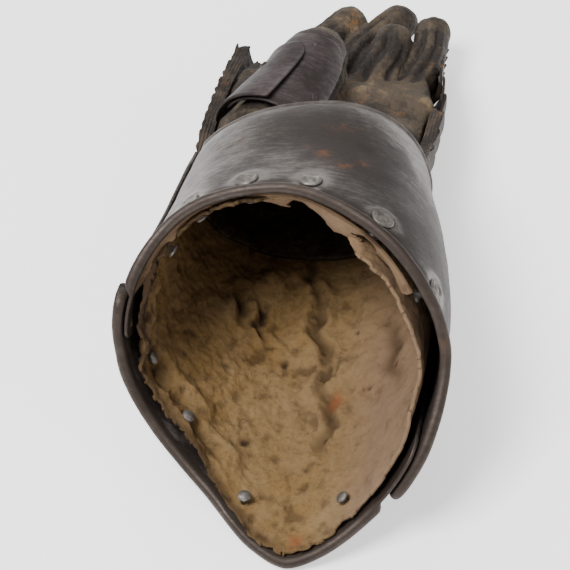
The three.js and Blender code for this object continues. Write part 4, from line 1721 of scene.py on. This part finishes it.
@dataclass
class Stage:
    """Pale floor, soft lights and the camera."""

    camera_at: tuple[float, float, float] = (0.15757, -0.69740, 0.73253)
    elevation: float = 45.934
    azimuth: float = 14.336
    roll: float = -6.192
    lens: float = 144.3
    sensor: float = 36
    floor_reach: float = 6.0
    lamp_distance: float = 1.6
    middle_height: float = 0.05
    world_light: float = 0.36
    lamps: tuple[tuple[str, float, float, float, float], ...] = (
        # name, azimuth, elevation, size, power
        ("key", -42, 62, 0.7, 40),
        ("fill", 75, 30, 1.2, 7),
        ("behind", 200, 45, 1.2, 12),
    )

    def floor(self) -> None:
        """A wide pale floor under the piece."""
        mesh = bpy.data.meshes.new("floor")
        reach = self.floor_reach
        corners = [(-reach, -reach, 0), (reach, -reach, 0), (reach, reach, 0), (-reach, reach, 0)]
        mesh.from_pydata(corners, [], [(0, 1, 2, 3)])
        obj = bpy.data.objects.new("floor", mesh)
        bpy.context.scene.collection.objects.link(obj)
        obj.data.materials.append(Finishes.FLOOR.value.material())

    def lamp(self, name: str, azimuth: float, elevation: float, size: float, power: float) -> None:
        """A square soft lamp aimed at the middle of the piece.

        Args:
            name: the lamp's name.
            azimuth: where it stands, 0 behind the elbow end and 90 at +X.
            elevation: degrees above the floor.
            size: side in metres.
            power: watts.
        """
        data = bpy.data.lights.new(name, "AREA")
        data.size, data.energy = size, power
        obj = bpy.data.objects.new(name, data)
        a, e = math.radians(azimuth), math.radians(elevation)
        away = Vector((math.sin(a) * math.cos(e), -math.cos(a) * math.cos(e), math.sin(e)))
        obj.location = Vector((0, 0, self.middle_height)) + away * self.lamp_distance
        obj.rotation_euler = (-away).to_track_quat("-Z", "Y").to_euler()
        bpy.context.scene.collection.objects.link(obj)

    def camera(self) -> None:
        """The camera, above and behind the elbow end."""
        data = bpy.data.cameras.new("camera")
        data.lens, data.sensor_width = self.lens, self.sensor
        data.clip_end = 20
        obj = bpy.data.objects.new("camera", data)
        a, e = math.radians(self.azimuth), math.radians(self.elevation)
        back = Vector((math.sin(a) * math.cos(e), -math.cos(a) * math.cos(e), math.sin(e)))
        side = Vector((math.cos(a), math.sin(a), 0))
        up = back.cross(side)
        tilt = Matrix.Rotation(math.radians(self.roll), 3, "Z")
        turn = Matrix((side, up, back)).transposed() @ tilt
        obj.matrix_world = Matrix.Translation(self.camera_at) @ turn.to_4x4()
        bpy.context.scene.collection.objects.link(obj)
        bpy.context.scene.camera = obj

    def build(self) -> None:
        """Sets the stage."""
        self.floor()
        self.camera()
        for lamp in self.lamps:
            self.lamp(*lamp)
        world = bpy.data.worlds.new("soft_studio")
        world.use_nodes = True
        sky = world.node_tree.nodes["Background"]
        sky.inputs["Color"].default_value = (1, 1, 1, 1)
        sky.inputs["Strength"].default_value = self.world_light
        bpy.context.scene.world = world


# ---- all together -------------------------------------------------------------------------------


def report(piece: bpy.types.Object) -> None:
    """Logs a finished piece and its size."""
    log.info("%s: %d faces", piece.name, len(piece.data.polygons))


def dress_cad(prefixes: tuple[str, ...], finish: Finish) -> None:
    """Gives carried-over CAD nodes a material through their objects' slots.

    Args:
        prefixes: what the nodes' names start with.
        finish: their material.
    """
    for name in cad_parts:
        obj = bpy.data.objects.get(name)
        if obj is not None and name.startswith(prefixes):
            for place in obj.material_slots:
                place.link = "OBJECT"
                place.material = finish.material()


def corners(box: tuple) -> list[list[float]]:
    """A box as plain lists."""
    return [[float(v) for v in corner] for corner in box]


def main() -> None:
    """Builds and dresses the gauntlet."""
    logging.basicConfig(level=logging.INFO, format="%(message)s")
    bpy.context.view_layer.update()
    Stage().build()
    Cuff().build()
    Lining().build()
    HandArmour().build()
    glove = Glove()
    glove.build()
    ThumbArmour().build(glove.stalls[-1])
    dress_cad(("index_", "middle_", "ring_", "little_"), Finishes.HAND.value)
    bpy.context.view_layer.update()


if __name__ == "__main__":
    main()
